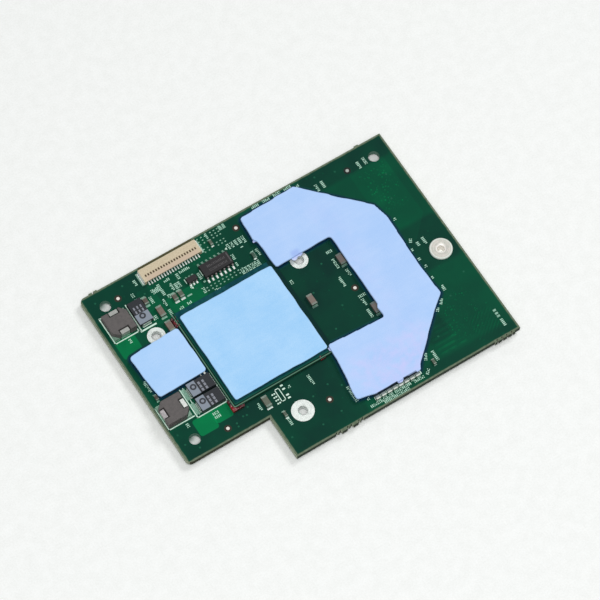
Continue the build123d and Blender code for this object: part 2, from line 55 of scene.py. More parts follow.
# Board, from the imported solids
board_low, board_high = (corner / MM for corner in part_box("circuit_board"))
board_top = board_high.z
underside = board_low.z
half_length = board_high.x
half_width = 33.6
notch_x = -22.15
notch_y = -20.65
bare_margin = 0.56

# Camera, set back along the photograph's line of sight
camera_place = (-0.22453, -0.31180, 0.82524)
camera_right = (0.8424, -0.5382, 0.0261)
camera_up = (0.4777, 0.7683, 0.4261)
camera_back = (-0.2494, -0.3465, 0.9043)
camera_lens = 209.06
camera_sensor = 36
nearest_view = 0.05

# Thickness of what is printed, etched or tinned on the board
ink_height = 0.025
land_height = 0.03
ring_height = 0.012

# Screw holes for the cooler: place and land diameter
screw_holes = (((8.3, 13.2), 4.9), ((-34.9, 14.3), 4.9), ((-14.0, -23.55), 6.1))
screw_hole_radius = 1.4
barrel_lining = 0.06

# Plain holes for the posts of the case
plain_holes = ((-41.75, 28.55), (41.75, 28.55), (-41.75, -15.6))
plain_hole_reach = 1.8

# Round reference marks that the placing machines look for
reference_marks = (
    (-37.8, 28.7), (-0.77, 29.9), (16.4, -1.3), (-6.45, -24.6), (-33.0, -17.6),
)
dim_mark = (33.4, 28.7)
reference_dot_radius = 0.46
reference_ring_radius = 1.0


def srgb(red, green, blue):
    """A colour from 0 to 255 as a screen shows it, made linear."""
    channels = (channel / 255 for channel in (red, green, blue))
    return (*(c / 12.92 if c <= 0.04045 else ((c + 0.055) / 1.055) ** 2.4 for c in channels), 1)


# Shader nodes

def add_node(tree, kind, inputs=None, **settings):
    """A node whose inputs are plain values or the outputs of other nodes."""
    made = tree.nodes.new(kind)
    for key, value in settings.items():
        setattr(made, key, value)
    for key, value in (inputs or {}).items():
        if isinstance(value, bpy.types.NodeSocket):
            tree.links.new(value, made.inputs[key])
        else:
            made.inputs[key].default_value = value
    return made


def math_node(tree, operation, *values, clamp=False):
    """The result of a sum on one to three values."""
    made = add_node(tree, "ShaderNodeMath", dict(enumerate(values)), operation=operation)
    made.use_clamp = clamp
    return made.outputs[0]


def chained(tree, operation, values):
    """One sum on each value in turn, from the left."""
    result = values[0]
    for value in values[1:]:
        result = math_node(tree, operation, result, value)
    return result


def times(tree, *values):
    """Values multiplied."""
    return chained(tree, "MULTIPLY", values)


def plus(tree, *values):
    """Values added."""
    return chained(tree, "ADD", values)


def minus(tree, *values):
    """Values taken from the first."""
    return chained(tree, "SUBTRACT", values)


def largest(tree, *values):
    """The largest of some values."""
    return chained(tree, "MAXIMUM", values)


def smallest(tree, *values):
    """The smallest of some values."""
    return chained(tree, "MINIMUM", values)


def size_of(tree, value):
    """A value without its sign."""
    return math_node(tree, "ABSOLUTE", value)


def wave(tree, value, pitch):
    """A value that rises to 0.5 and falls to 0 again over two pitches."""
    return math_node(tree, "PINGPONG", math_node(tree, "DIVIDE", value, pitch), 0.5)


def split(tree, vector):
    """The three parts of a vector."""
    return add_node(tree, "ShaderNodeSeparateXYZ", {0: vector}).outputs


def ramp_between(tree, value, start, end):
    """A mask that goes smoothly from 0 at start to 1 at end."""
    inputs = {"Value": value, "From Min": start, "From Max": end}
    return add_node(tree, "ShaderNodeMapRange", inputs, interpolation_type="SMOOTHSTEP").outputs[0]


def mix_colours(tree, mask, first, second):
    """The first colour where the mask is 0, and the second where it is 1."""
    mix = add_node(tree, "ShaderNodeMix", {0: mask, 6: first, 7: second}, data_type="RGBA")
    return mix.outputs[2]


def mix_values(tree, mask, first, second):
    """The first value where the mask is 0, and the second where it is 1."""
    return add_node(tree, "ShaderNodeMix", {0: mask, 2: first, 3: second}).outputs[0]


def blended(tree, mask, dark, light):
    """Two colours, given from 0 to 255, blended by a mask."""
    return mix_colours(tree, mask, srgb(*dark), srgb(*light))


def bump(tree, height, depth):
    """A normal from a height of 0 to 1 that stands for a depth in millimetres."""
    inputs = {"Height": height, "Distance": depth * MM, "Strength": 1.0}
    return add_node(tree, "ShaderNodeBump", inputs).outputs["Normal"]


def board_position(tree):
    """Object coordinates in millimetres."""
    place = add_node(tree, "ShaderNodeTexCoord").outputs["Object"]
    scaled = add_node(tree, "ShaderNodeVectorMath", {0: place, "Scale": 1 / MM}, operation="SCALE")
    return scaled.outputs["Vector"]


def board_height(tree):
    """Height above the table in millimetres."""
    return split(tree, board_position(tree))[2]


def face_normal(tree):
    """The three parts of the surface's direction."""
    return split(tree, add_node(tree, "ShaderNodeNewGeometry").outputs["Normal"])


def level_faces(tree):
    """A mask of the faces that lie level."""
    return ramp_between(tree, size_of(tree, face_normal(tree)[2]), 0.4, 0.6)


def new_group(name, inputs, outputs):
    """An empty group of shader nodes with named inputs and outputs."""
    group = bpy.data.node_groups.new(name, "ShaderNodeTree")
    for title, kind, value in inputs:
        socket = group.interface.new_socket(title, in_out="INPUT", socket_type=kind)
        socket.default_value = value
    for title in outputs:
        group.interface.new_socket(title, in_out="OUTPUT", socket_type="NodeSocketFloat")
    return group, group.nodes.new("NodeGroupInput"), group.nodes.new("NodeGroupOutput")


def build_grain():
    """Cloudy grain of a named size, with a value from 0 to 1."""
    sockets = (("Size", "NodeSocketFloat", 1.0), ("Detail", "NodeSocketFloat", 2.0))
    group, given, result = new_group("grain", sockets, ("Value",))
    size = math_node(group, "DIVIDE", 1.0, given.outputs["Size"])
    inputs = {"Vector": board_position(group), "Scale": size, "Detail": given.outputs["Detail"]}
    cloud = add_node(group, "ShaderNodeTexNoise", inputs)
    spread = ramp_between(group, cloud.outputs[0], 0.25, 0.75)
    group.links.new(spread, result.inputs["Value"])
    return group


def build_pits():
    """Small round spots scattered over a surface, such as pores or dimples."""
    sockets = (("Spacing", "NodeSocketFloat", 1.0), ("Spot", "NodeSocketFloat", 0.25))
    group, given, result = new_group("pits", sockets, ("Mask",))
    scale = math_node(group, "DIVIDE", 1.0, given.outputs["Spacing"])
    cells = add_node(group, "ShaderNodeTexVoronoi", {"Vector": board_position(group), "Scale": scale})
    edge = times(group, given.outputs["Spot"], 0.6)
    inside = ramp_between(group, cells.outputs["Distance"], given.outputs["Spot"], edge)
    group.links.new(inside, result.inputs["Mask"])
    return group


def build_field():
    """A rectangle with rounded corners on the board, as a copper area has."""
    sockets = (
        ("Middle", "NodeSocketVector", (0.0, 0.0, 0.0)),
        ("Half Size", "NodeSocketVector", (1.0, 1.0, 0.0)),
        ("Corner", "NodeSocketFloat", 0.5),
        ("Softness", "NodeSocketFloat", 0.2),
    )
    group, given, result = new_group("field", sockets, ("Mask",))
    away = add_node(
        group, "ShaderNodeVectorMath", {0: board_position(group), 1: given.outputs["Middle"]},
        operation="SUBTRACT",
    )
    folded = add_node(group, "ShaderNodeVectorMath", {0: away.outputs[0]}, operation="ABSOLUTE")
    beyond = add_node(
        group, "ShaderNodeVectorMath", {0: folded.outputs[0], 1: given.outputs["Half Size"]},
        operation="SUBTRACT",
    )
    parts = split(group, beyond.outputs[0])
    corner = given.outputs["Corner"]
    over = (largest(group, plus(group, parts[axis], corner), 0.0) for axis in (0, 1))
    squares = (math_node(group, "POWER", side, 2.0) for side in over)
    outside = math_node(group, "SQRT", plus(group, *squares))
    inside = smallest(group, plus(group, largest(group, parts[0], parts[1]), corner), 0.0)
    distance = minus(group, plus(group, outside, inside), corner)
    soft = given.outputs["Softness"]
    mask = ramp_between(group, distance, soft, times(group, soft, -1.0))
    group.links.new(mask, result.inputs["Mask"])
    return group


def build_tracks():
    """Parallel copper tracks under the mask, at an angle on the board."""
    sockets = (("Angle", "NodeSocketFloat", 0.0), ("Pitch", "NodeSocketFloat", 0.5))
    group, given, result = new_group("tracks", sockets, ("Mask",))
    turned = add_node(
        group, "ShaderNodeVectorRotate",
        {"Vector": board_position(group), "Angle": given.outputs["Angle"]}, rotation_type="Z_AXIS",
    )
    lines = wave(group, split(group, turned.outputs[0])[1], given.outputs["Pitch"])
    mask = ramp_between(group, lines, 0.2, 0.3)
    group.links.new(mask, result.inputs["Mask"])
    return group


grain_group = build_grain()
pits_group = build_pits()
field_group = build_field()
tracks_group = build_tracks()


def grain(tree, size, detail=2.0):
    """Grain of a size in millimetres."""
    values = {"Size": size, "Detail": detail}
    return add_node(tree, "ShaderNodeGroup", values, node_tree=grain_group).outputs[0]


def pits(tree, spacing, spot):
    """Round spots at a spacing in millimetres."""
    values = {"Spacing": spacing, "Spot": spot}
    return add_node(tree, "ShaderNodeGroup", values, node_tree=pits_group).outputs[0]


def tracks(tree, degrees, pitch):
    """Tracks at an angle from the board's long side."""
    values = {"Angle": math.radians(degrees), "Pitch": pitch}
    return add_node(tree, "ShaderNodeGroup", values, node_tree=tracks_group).outputs[0]


def field(tree, west, south, east, north, corner=0.5, softness=0.15):
    """A rounded rectangle between two corners on the board."""
    values = {
        "Middle": ((west + east) / 2, (south + north) / 2, 0),
        "Half Size": ((east - west) / 2, (north - south) / 2, 0),
        "Corner": corner,
        "Softness": softness,
    }
    return add_node(tree, "ShaderNodeGroup", values, node_tree=field_group).outputs[0]


def place_field(tree, place, half_x, half_y, corner=0.1, softness=0.1):
    """A rounded rectangle round a place on the board."""
    x, y = place
    return field(tree, x - half_x, y - half_y, x + half_x, y + half_y, corner, softness)


def tinted(tree, colour, mask, *shade):
    """A colour with another, given from 0 to 255, laid over it by a mask."""
    return mix_colours(tree, mask, colour, srgb(*shade))


def grained(tree, size, dark, light, detail=3.0):
    """Two colours, given from 0 to 255, blended by a grain."""
    return blended(tree, grain(tree, size, detail), dark, light)


def new_finish(name, roughness, metallic=0.0, specular=0.5):
    """A material, its node tree and its Principled shader."""
    material = bpy.data.materials.new(name)
    material.use_nodes = True
    tree = material.node_tree
    shader = tree.nodes["Principled BSDF"]
    shader.inputs["Roughness"].default_value = roughness
    shader.inputs["Metallic"].default_value = metallic
    shader.inputs["Specular IOR Level"].default_value = specular
    return material, tree, shader


def feed(tree, shader, **outputs):
    """Link outputs to the shader's sockets."""
    for title, output in outputs.items():
        tree.links.new(output, shader.inputs[title.replace("_", " ").title()])


def grained_surface(material, tree, shader, colour, size, depth, detail=2.0):
    """Give a material its colour and a fine grain of a depth in millimetres."""
    feed(tree, shader, base_color=colour, normal=bump(tree, grain(tree, size, detail), depth))
    return material


def mottled_finish(name, dark, light, size, roughness, depth=0.0, metallic=0.0, specular=0.5):
    """A finish whose colour, gloss and surface vary with a grain of one size."""
    material, tree, shader = new_finish(name, roughness, metallic, specular)
    coarse = grain(tree, size * 6)
    fine = grain(tree, size, 4.0)
    blend = mix_values(tree, 0.6, coarse, fine)
    feed(
        tree, shader,
        base_color=blended(tree, blend, dark, light),
        roughness=mix_values(tree, coarse, roughness - 0.06, roughness + 0.08),
    )
    if depth:
        feed(tree, shader, normal=bump(tree, fine, depth))
    return material


# Finishes

# Copper areas under the mask: west, south, east, north, and how much lighter they look
copper_areas = (
    (-45.4, 12.6, -39.6, 18.6, 0.36), (-40.0, -16.1, -34.4, -11.0, 0.58), (-34.6, -15.2, -29.4, -11.0, 0.58),
    (-27.6, 17.2, -17.0, 22.0, 0.2), (-33.2, 16.6, -28.6, 27.6, 0.12),
)
# Areas without copper, and how much darker they look
bare_areas = (
    (-46.4, 24.8, -29.5, 33.4, 0.24), (-9.0, 17.2, 0.8, 33.4, 0.15), (1.0, -12.6, 18.5, 14.0, 0.27),
    (-29.5, -33.2, 0.8, -13.6, 0.21), (20.0, 27.2, 46.4, 33.4, 0.2),
    (-46.2, -20.6, -29.5, -10.5, 0.18), (34.5, -7.5, 46.4, 6.5, 0.18),
    (18.5, -33.4, 46.4, -30.2, 0.17), (24.0, -26.0, 31.0, -17.5, 0.18),
)
# Lighter copper whose edge runs at 45 degrees: west, south, east, north, and x - y at that edge
slanted_copper = (33.0, 2.0, 43.8, 27.5, 36.0)
slanted_lift = 0.09
# Brown edge of the board in the shade of the display connector: west, south, east, north
shaded_edge = (-29.0, 33.05, -12.6, 33.5)
# Tracks that show faintly: the area, the angle and the pitch
track_areas = (
    (36.0, -31.0, 43.5, -24.0, -40.0, 0.8), (25.0, -29.5, 33.0, -21.5, 0.0, 1.5),
)
# Closely set tracks and vias that look like embossing
embossed_areas = ((30.0, -28.5, 41.0, -16.0), (35.0, 13.0, 43.2, 26.5))
# The mask from its darkest to its lightest, and where the middle shade lies between them
mask_dark, mask_middle, mask_light = (15, 46, 43), (8, 79, 55), (3, 134, 77)
mask_middle_level = 0.45
mask_relief = 0.035
# How much lighter and higher the embossing, the tracks and the vias look
embossing_lift, embossing_relief = 0.26, 1.6
track_lift, track_relief = 0.13, 1.1
via_lift = 0.14
ply_thickness = 0.26
# Long wall of the notch, painted dark as shade: west, south, east, north
notch_wall_area = (-46.2, notch_y - 0.4, notch_x - 0.5, notch_y + 0.4)


def laminate_edges(tree, position):
    """How far into the board a point lies from its nearest edge."""
    x, y, _ = split(tree, position)
    from_ends = minus(tree, half_length, size_of(tree, x))
    from_sides = minus(tree, half_width, size_of(tree, y))
    from_notch = largest(tree, minus(tree, x, notch_x), minus(tree, y, notch_y))
    return smallest(tree, from_ends, from_sides, from_notch)


def laminate_walls(tree, height):
    """Cut edges of the laminate with its plies, and the walls of the notch and of the plain holes, with
    painted shade on the long walls, painted light on the short ones and in the plain holes, and painted shade
    on the notch's long wall.
    """
    plies = ramp_between(tree, wave(tree, height, ply_thickness), 0.1, 0.3)
    # Painted shade and light: the long walls, facing along y, are painted dark and the short walls, facing
    # along x, pale, from one laminate
    shaded_long_wall = blended(tree, plies, (46, 54, 47), (64, 72, 62))
    lit_short_wall = blended(tree, plies, (146, 152, 132), (172, 180, 158))
    wall = mix_colours(tree, size_of(tree, face_normal(tree)[0]), shaded_long_wall, lit_short_wall)
    # Painted light: the walls of the plain holes are painted a paler green, for the light that reaches into
    # them
    for place in plain_holes:
        bore = place_field(tree, place, plain_hole_reach, plain_hole_reach, plain_hole_reach, 0.05)
        wall = tinted(tree, wall, bore, 108, 142, 128)
    # Painted shade: the notch's long wall is painted a dark olive
    return tinted(tree, wall, field(tree, *notch_wall_area, 0.2, 0.1), 58, 60, 48)


def mask_finish():
    """Green mask over copper, with bare laminate along the cut edges."""
    material, tree, shader = new_finish("green_mask", 0.5, specular=0.05)
    position = board_position(tree)
    across, away, height = split(tree, position)
    upper = ramp_between(tree, height, board_top - 0.3, board_top - 0.1)
    level = mix_values(tree, grain(tree, 9.0, 3.0), 0.3, 0.46)
    for *area, lift in copper_areas:
        level = plus(tree, level, times(tree, field(tree, *area, 0.8), lift, upper))
    for *area, drop in bare_areas:
        level = minus(tree, level, times(tree, field(tree, *area, 1.5, 0.8), drop, upper))
    *area, slant = slanted_copper
    beside = ramp_between(tree, minus(tree, across, away), slant + 0.2, slant - 0.2)
    level = plus(tree, level, times(tree, field(tree, *area, 0.5), beside, slanted_lift))
    embossed = largest(tree, *(field(tree, *area, 2.0, 1.5) for area in embossed_areas))
    embossed = times(tree, embossed, pits(tree, 0.8, 0.4))
    embossed = times(tree, embossed, times(tree, grain(tree, 2.6), upper))
    level = plus(tree, level, times(tree, embossed, embossing_lift))
    relief = plus(tree, level, times(tree, embossed, embossing_relief))
    for *area, angle, pitch in track_areas:
        broken = times(tree, field(tree, *area, 0.5, 0.5), upper, grain(tree, 2.2))
        lines = times(tree, tracks(tree, angle, pitch), broken)
        relief = plus(tree, relief, times(tree, lines, track_relief))
        level = plus(tree, level, times(tree, lines, track_lift))
    small_vias = times(tree, pits(tree, 2.6, 0.12), via_lift)
    level = math_node(tree, "ADD", level, small_vias, clamp=True)
    shades = add_node(tree, "ShaderNodeValToRGB", {0: level})
    shades.color_ramp.elements[0].color = srgb(*mask_dark)
    shades.color_ramp.elements[1].color = srgb(*mask_light)
    shades.color_ramp.elements.new(mask_middle_level).color = srgb(*mask_middle)

    ragged = times(tree, grain(tree, 1.6, 3.0), 0.12)
    inside = minus(tree, laminate_edges(tree, position), ragged)
    masked = ramp_between(tree, inside, bare_margin - 0.3, bare_margin)
    weave = grained(tree, 0.9, (94, 108, 88), (116, 128, 108))
    colour = mix_colours(tree, masked, weave, shades.outputs[0])
    colour = tinted(tree, colour, field(tree, *shaded_edge, 0.1, 0.1), 84, 76, 52)
    flat = level_faces(tree)
    feed(
        tree, shader,
        base_color=mix_colours(tree, flat, laminate_walls(tree, height), colour),
        roughness=mix_values(tree, times(tree, masked, flat), 0.8, 0.5),
        normal=bump(tree, times(tree, relief, masked), mask_relief),
    )
    return material


# Grey bands of the moulded capacitors: west, south, east, north
band_areas = ((-36.9, -11.2, -33.9, -1.6), (-37.6, 18.0, -33.0, 21.3))


def banded_finish():
    """Dark moulded capacitor body with a grey band at its marked end."""
    material, tree, shader = new_finish("banded_moulding", 0.5, specular=0.35)
    body = grained(tree, 0.1, (30, 33, 38), (44, 48, 54), 4.0)
    band = grained(tree, 0.1, (122, 132, 146), (142, 152, 164), 4.0)
    marked = largest(tree, *(field(tree, *area, 0.1, 0.05) for area in band_areas))
    top = ramp_between(tree, board_height(tree), board_top + 1.6, board_top + 1.7)
    colour = mix_colours(tree, times(tree, marked, top), body, band)
    return grained_surface(material, tree, shader, colour, 0.1, 0.006, 4.0)


# Violet bloom on the memory pad: west, south, east, north, and its strength
bloom_areas = ((2.0, -31.0, 26.0, -19.0, 0.4), (9.0, -29.5, 19.0, -24.5, 0.3), (16.5, -20.0, 24.0, 24.0, 0.1))
# Painted shade of a crease beside the screw hole: west, south, east, north
crease_shade_area = (6.8, 13.6, 9.3, 15.6)
# Spans of the memory pad's front edge that lie in shade: west and east
shaded_spans = ((3.6, 10.6), (12.4, 16.4))


def stained_and_shaded(tree, colour):
    """Violet bloom over the pad's lower arm, with painted shade in its crease and under its front edge."""
    for *area, strength in bloom_areas:
        cloud = times(tree, grain(tree, 2.4, 3.0), strength)
        colour = tinted(tree, colour, times(tree, field(tree, *area, 3.0, 3.0), cloud), 214, 204, 252)
    # Painted shade in the crease
    crease_shade = times(tree, field(tree, *crease_shade_area, 0.9, 0.7), 0.5)
    colour = tinted(tree, colour, crease_shade, 150, 172, 240)
    low = ramp_between(tree, board_height(tree), board_top + 2.02, board_top + 1.9)
    for west, east in shaded_spans:
        edge = times(tree, field(tree, west, -31.2, east, -30.1, 0.1, 0.1), low)
        colour = tinted(tree, colour, edge, 16, 32, 46)
    return colour


def pad_finish(name, dark, light, pad_stains_and_shade=False):
    """Matt silicone pad with a fine skin, faint wipe marks and small pores."""
    material, tree, shader = new_finish(name, 0.78, specular=0.2)
    cloud = grain(tree, 7.0, 3.0)
    skin = grain(tree, 0.25, 3.0)
    along_wipes = {"Vector": board_position(tree), "Scale": (0.12, 0.9, 1.0)}
    stretched = add_node(tree, "ShaderNodeMapping", along_wipes).outputs[0]
    wiped = add_node(tree, "ShaderNodeTexNoise", {"Vector": stretched, "Detail": 2.0, "Scale": 1.0})
    shade = mix_values(tree, 0.5, cloud, skin)
    shade = mix_values(tree, 0.3, shade, wiped.outputs[0])
    colour = blended(tree, shade, dark, light)
    if pad_stains_and_shade:
        colour = stained_and_shaded(tree, colour)
    feed(
        tree, shader,
        base_color=colour,
        roughness=mix_values(tree, cloud, 0.7, 0.86),
        normal=bump(tree, mix_values(tree, 0.5, skin, pits(tree, 0.5, 0.2)), 0.012),
    )
    return material


turned_ring_pitch = 0.62
# Radius at which the dish's painted light ends and the rim begins, inner and outer
lit_dish_edge = (1.75, 1.1)
rim_edge = (2.6, 2.95)


def nut_finish():
    """Turned steel with the rings that the tool left around the bore, and painted light, near white, over the
    dish and the bore.
    """
    material, tree, shader = new_finish("turned_steel", 0.5, metallic=0.2)
    low, high = (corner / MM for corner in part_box("press_nut"))
    middle = (low + high) / 2
    centring = {"Vector": board_position(tree), "Location": (-middle.x, -middle.y, 0), "Scale": (1, 1, 0)}
    from_middle = add_node(tree, "ShaderNodeMapping", centring).outputs[0]
    radius = add_node(tree, "ShaderNodeVectorMath", {0: from_middle}, operation="LENGTH").outputs["Value"]
    rings = wave(tree, radius, turned_ring_pitch)
    turned = mix_values(tree, 0.5, rings, grain(tree, 0.9))
    face = blended(tree, turned, (192, 196, 186), (222, 212, 206))
    # Painted light: the dish and the bore are painted near white, for the light that shows through the bore
    face = tinted(tree, face, ramp_between(tree, radius, *lit_dish_edge), 255, 252, 246)
    feed(
        tree, shader,
        base_color=tinted(tree, face, ramp_between(tree, radius, *rim_edge), 232, 240, 232),
        roughness=mix_values(tree, grain(tree, 0.8), 0.4, 0.56),
        normal=bump(tree, rings, 0.03),
    )
    return material


# Lines along the carrier's front and left edges: distance from the edge, and colour
carrier_lines = ((0.2, (100, 138, 114)), (0.42, (12, 42, 38)), (0.75, (18, 84, 70)), (1.1, (12, 46, 44)))


def carrier_finish():
    """Dark laminate of the chip carrier, with a pale line along its front and left edges."""
    material, tree, shader = new_finish("carrier_laminate", 0.5, specular=0.05)
    low, high = (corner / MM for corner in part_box("gpu_substrate"))
    face = srgb(16, 60, 48)
    for inset, shade in carrier_lines:
        inside = field(tree, low.x + inset, low.y + inset, high.x + 2, high.y + 2, 0.3, 0.07)
        face = tinted(tree, face, inside, *shade)
    middle = grained(tree, 1.5, (8, 60, 70), (22, 78, 82))
    inside = field(tree, low.x + 1.2, low.y + 1.15, high.x - 1.7, high.y + 2, 0.3, 0.1)
    face = mix_colours(tree, inside, face, middle)
    wall = grained(tree, 0.3, (28, 52, 40), (48, 74, 56))
    colour = mix_colours(tree, level_faces(tree), wall, face)
    return grained_surface(material, tree, shader, colour, 0.6, 0.01, 3.0)


# Brightest corner of the adhesive: west, south, east, north
bright_glue = (-30.0, -14.9, -29.0, -13.4)


def glue_finish():
    """Glossy red staking adhesive."""
    material, tree, shader = new_finish("red_adhesive", 0.35)
    shader.inputs["Coat Weight"].default_value = 0.2
    dark = grained(tree, 0.8, (34, 6, 10), (112, 14, 22), 2.0)
    colour = tinted(tree, dark, field(tree, *bright_glue, 0.4, 0.5), 142, 16, 30)
    return grained_surface(material, tree, shader, colour, 1.4, 0.015)


def paper_finish():
    """White paper under the board, shaded below the two plain holes on the left."""
    material, tree, shader = new_finish("white_paper", 0.9, specular=0.1)
    fibres = mix_values(tree, 0.6, grain(tree, 3.0, 4.0), grain(tree, 0.45))
    sheet = blended(tree, fibres, (241, 243, 241), (252, 254, 253))
    for x, y in plain_holes:
        if x < 0:
            shaded = field(tree, x - 1.4, y + 1.0, x + 0.7, y + 3.8, 1.0, 0.9)
            sheet = tinted(tree, sheet, shaded, 140, 160, 152)
    feed(tree, shader, base_color=sheet)
    return material


# Ceramic capacitors that look greyer than the rest, the one at (-1.2, 20.6) painted dark as shade beside the
# pad: place, and the colours of the body and of the ends
dim_ceramics = (
    ((4.7, 1.5), (124, 112, 105), (120, 130, 122)), ((17.6, 7.4), (106, 98, 94), (90, 102, 96)),
    ((17.7, -9.15), (106, 100, 96), (88, 102, 98)), ((-1.2, 20.6), (62, 86, 74), (78, 104, 92)),
)
# The row of capacitors at the front edge, and the part of it in the pad's shade: west, south, east, north
front_row_ends = (2.0, -32.5, 18.5, -29.6)
front_row_bodies = (2.0, -32.5, 18.5, -29.3)
front_row_shade = (3.0, -30.45, 17.2, -29.0)


def ceramic_place(tree, place):
    """The mask of one ceramic capacitor."""
    return place_field(tree, place, 1.2, 2.0)


def end_finish():
    """Sintered ends of the ceramic capacitors, whose upright faces are painted much darker, as shade."""
    material, tree, shader = new_finish("sintered_ends", 0.5, metallic=0.15)
    top = grained(tree, 0.6, (106, 126, 114), (134, 148, 136), 2.0)
    for place, _, shade in dim_ceramics:
        top = tinted(tree, top, ceramic_place(tree, place), *shade)
    top = tinted(tree, top, field(tree, *front_row_ends, 0.2, 0.1), 206, 214, 204)
    # Painted shade: upright faces get a dark olive, level faces the lit colour
    level = ramp_between(tree, face_normal(tree)[2], 0.3, 0.7)
    colour = mix_colours(tree, level, srgb(66, 70, 60), top)
    return grained_surface(material, tree, shader, colour, 0.25, 0.015)


def ceramic_finish(name, dark, light):
    """Fired ceramic: more olive away from the left end, greyer in places, and paler in the front row."""
    material, tree, shader = new_finish(name, 0.55, specular=0.25)
    body = grained(tree, 0.5, dark, light)
    olive = ramp_between(tree, split(tree, board_position(tree))[0], -26.0, -24.0)
    body = tinted(tree, body, times(tree, olive, 0.6), 85, 106, 90)
    for place, shade, _ in dim_ceramics:
        body = tinted(tree, body, ceramic_place(tree, place), *shade)
    body = tinted(tree, body, field(tree, *front_row_bodies, 0.2, 0.1), 128, 140, 140)
    body = tinted(tree, body, field(tree, *front_row_shade, 0.1, 0.1), 20, 38, 50)
    return grained_surface(material, tree, shader, body, 0.3, 0.01, 3.0)


# Clips of the upper choke, which look greyer: west, south, east, north
upper_choke_area = (-46.4, 16.0, -37.7, 28.0)


def clip_finish():
    """Tinned clips of the chokes and capacitors: greyer on the left, where it is painted shade, and dull down
    at the board.
    """
    material, tree, shader = new_finish("shaded_tin", 0.45, metallic=0.25)
    across, _, height = split(tree, board_position(tree))
    bright = grained(tree, 0.5, (206, 212, 208), (242, 244, 240))
    grey = grained(tree, 0.5, (156, 152, 154), (188, 182, 184))
    # Painted shade: clips on the left are painted greyer than those on the right
    tone = mix_colours(tree, ramp_between(tree, across, -43.6, -43.2), grey, bright)
    tone = tinted(tree, tone, field(tree, *upper_choke_area), 168, 170, 166)
    low = ramp_between(tree, height, board_top + 1.2, board_top + 1.0)
    return grained_surface(material, tree, shader, tinted(tree, tone, low, 126, 162, 142), 0.4, 0.02)


contact_pitch = 0.8
# Contact mouths of the display connector, painted dark as shade in their openings: distance from the
# housing's ends, and their near and far ends
mouth_inset = 0.9
mouth_near, mouth_far = 1.25, 1.95


def connector_finish():
    """Beige housing with a pinker front, and the mouths of its contacts painted dark as shade."""
    material, tree, shader = new_finish("beige_plastic", 0.6, specular=0.3)
    low, high = (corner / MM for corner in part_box("display_connector_housing"))
    body = grained(tree, 0.4, (196, 182, 154), (214, 200, 172))
    front = field(tree, low.x + 0.8, low.y - 0.2, high.x - 0.8, low.y + 1.2, 0.1, 0.15)
    body = tinted(tree, body, front, 202, 182, 160)
    from_middle = minus(tree, split(tree, board_position(tree))[0], (low.x + high.x) / 2)
    gap = ramp_between(tree, wave(tree, from_middle, contact_pitch), 0.12, 0.3)
    west, east = low.x + mouth_inset, high.x - mouth_inset
    mouth_shade = field(tree, west, low.y + mouth_near, east, low.y + mouth_far, 0.1, 0.08)
    # Painted shade in the contact mouths
    body = tinted(tree, body, times(tree, mouth_shade, gap), 104, 86, 66)
    return grained_surface(material, tree, shader, body, 0.4, 0.008, 3.0)


# Rear rows of leads, painted duller as shade, and leads in the small pad's shade: west, south, east, north
rear_lead_shade_areas = ((-17.0, 24.6, -5.5, 28.0), (-20.6, 23.6, -16.8, 26.0))
shaded_lead_area = (-46.0, -3.0, -31.2, 0.6)


def lead_finish():
    """Tinned leads: bright where they lie on the board and duller higher up, as lit and shaded copies of one
    tin, and painted duller in the rear rows as shade.
    """
    material, tree, shader = new_finish("tinned_leads", 0.42, metallic=0.25)
    low = ramp_between(tree, board_height(tree), board_top + 0.5, board_top + 0.3)
    bright = grained(tree, 0.5, (226, 238, 230), (248, 252, 248), 2.0)
    # Painted light and shade: the feet on the board are painted bright and the parts higher up grey
    tone = mix_colours(tree, low, srgb(140, 136, 134), bright)
    rear = largest(tree, *(field(tree, *area) for area in rear_lead_shade_areas))
    # Painted shade on the rear rows of leads
    tone = tinted(tree, tone, rear, 112, 146, 130)
    tone = tinted(tree, tone, field(tree, *shaded_lead_area, 0.1, 0.1), 34, 50, 62)
    return grained_surface(material, tree, shader, tone, 0.2, 0.01)


solder = mottled_finish(
    "dull_solder", (206, 214, 210), (242, 248, 244), 0.35, 0.4, depth=0.02, metallic=0.35
)
clip_tin = clip_finish()
bare_and_shaded_tin = mottled_finish(
    "bare_lands", (94, 142, 122), (160, 204, 182), 0.3, 0.5, depth=0.01, metallic=0.1
)
end_tin = end_finish()
lead_tin = lead_finish()
outline_and_highlight_ink = mottled_finish("outline_and_highlight_ink", (196, 230, 210), (224, 246, 234), 0.5, 0.6, specular=0.2)
ink = mottled_finish("fine_ink", (150, 196, 174), (190, 226, 208), 0.5, 0.6, specular=0.2)
bright_land = mottled_finish("bright_lands", (190, 226, 206), (226, 248, 236), 0.3, 0.45, metallic=0.1)
finishes = {
    "solder_mask": mask_finish(),
    "tinned_copper": solder,
    "plated_steel": nut_finish(),
    "chip_carrier": carrier_finish(),
    "black_moulding": mottled_finish(
        "black_moulding", (24, 24, 26), (44, 42, 44), 0.09, 0.55, depth=0.006, specular=0.35
    ),
    "banded_moulding": banded_finish(),
    "red_adhesive": glue_finish(),
    "blue_pad": pad_finish("blue_silicone", (148, 203, 249), (184, 222, 255)),
    "violet_pad": pad_finish("violet_silicone", (165, 202, 251), (192, 217, 255), True),
    "choke_composite": mottled_finish(
        "choke_composite", (84, 82, 82), (110, 105, 104), 0.16, 0.7, depth=0.03, specular=0.25
    ),
    "tan_ceramic": ceramic_finish("tan_ceramic", (108, 96, 88), (127, 116, 106)),
    "beige_plastic": connector_finish(),
    "black_plastic": mottled_finish(
        "black_plastic", (20, 20, 21), (34, 34, 35), 0.12, 0.5, depth=0.006
    ),
    "gold_plating": mottled_finish(
        "gold_plating", (196, 164, 92), (232, 204, 136), 0.3, 0.3, metallic=1.0
    ),
}
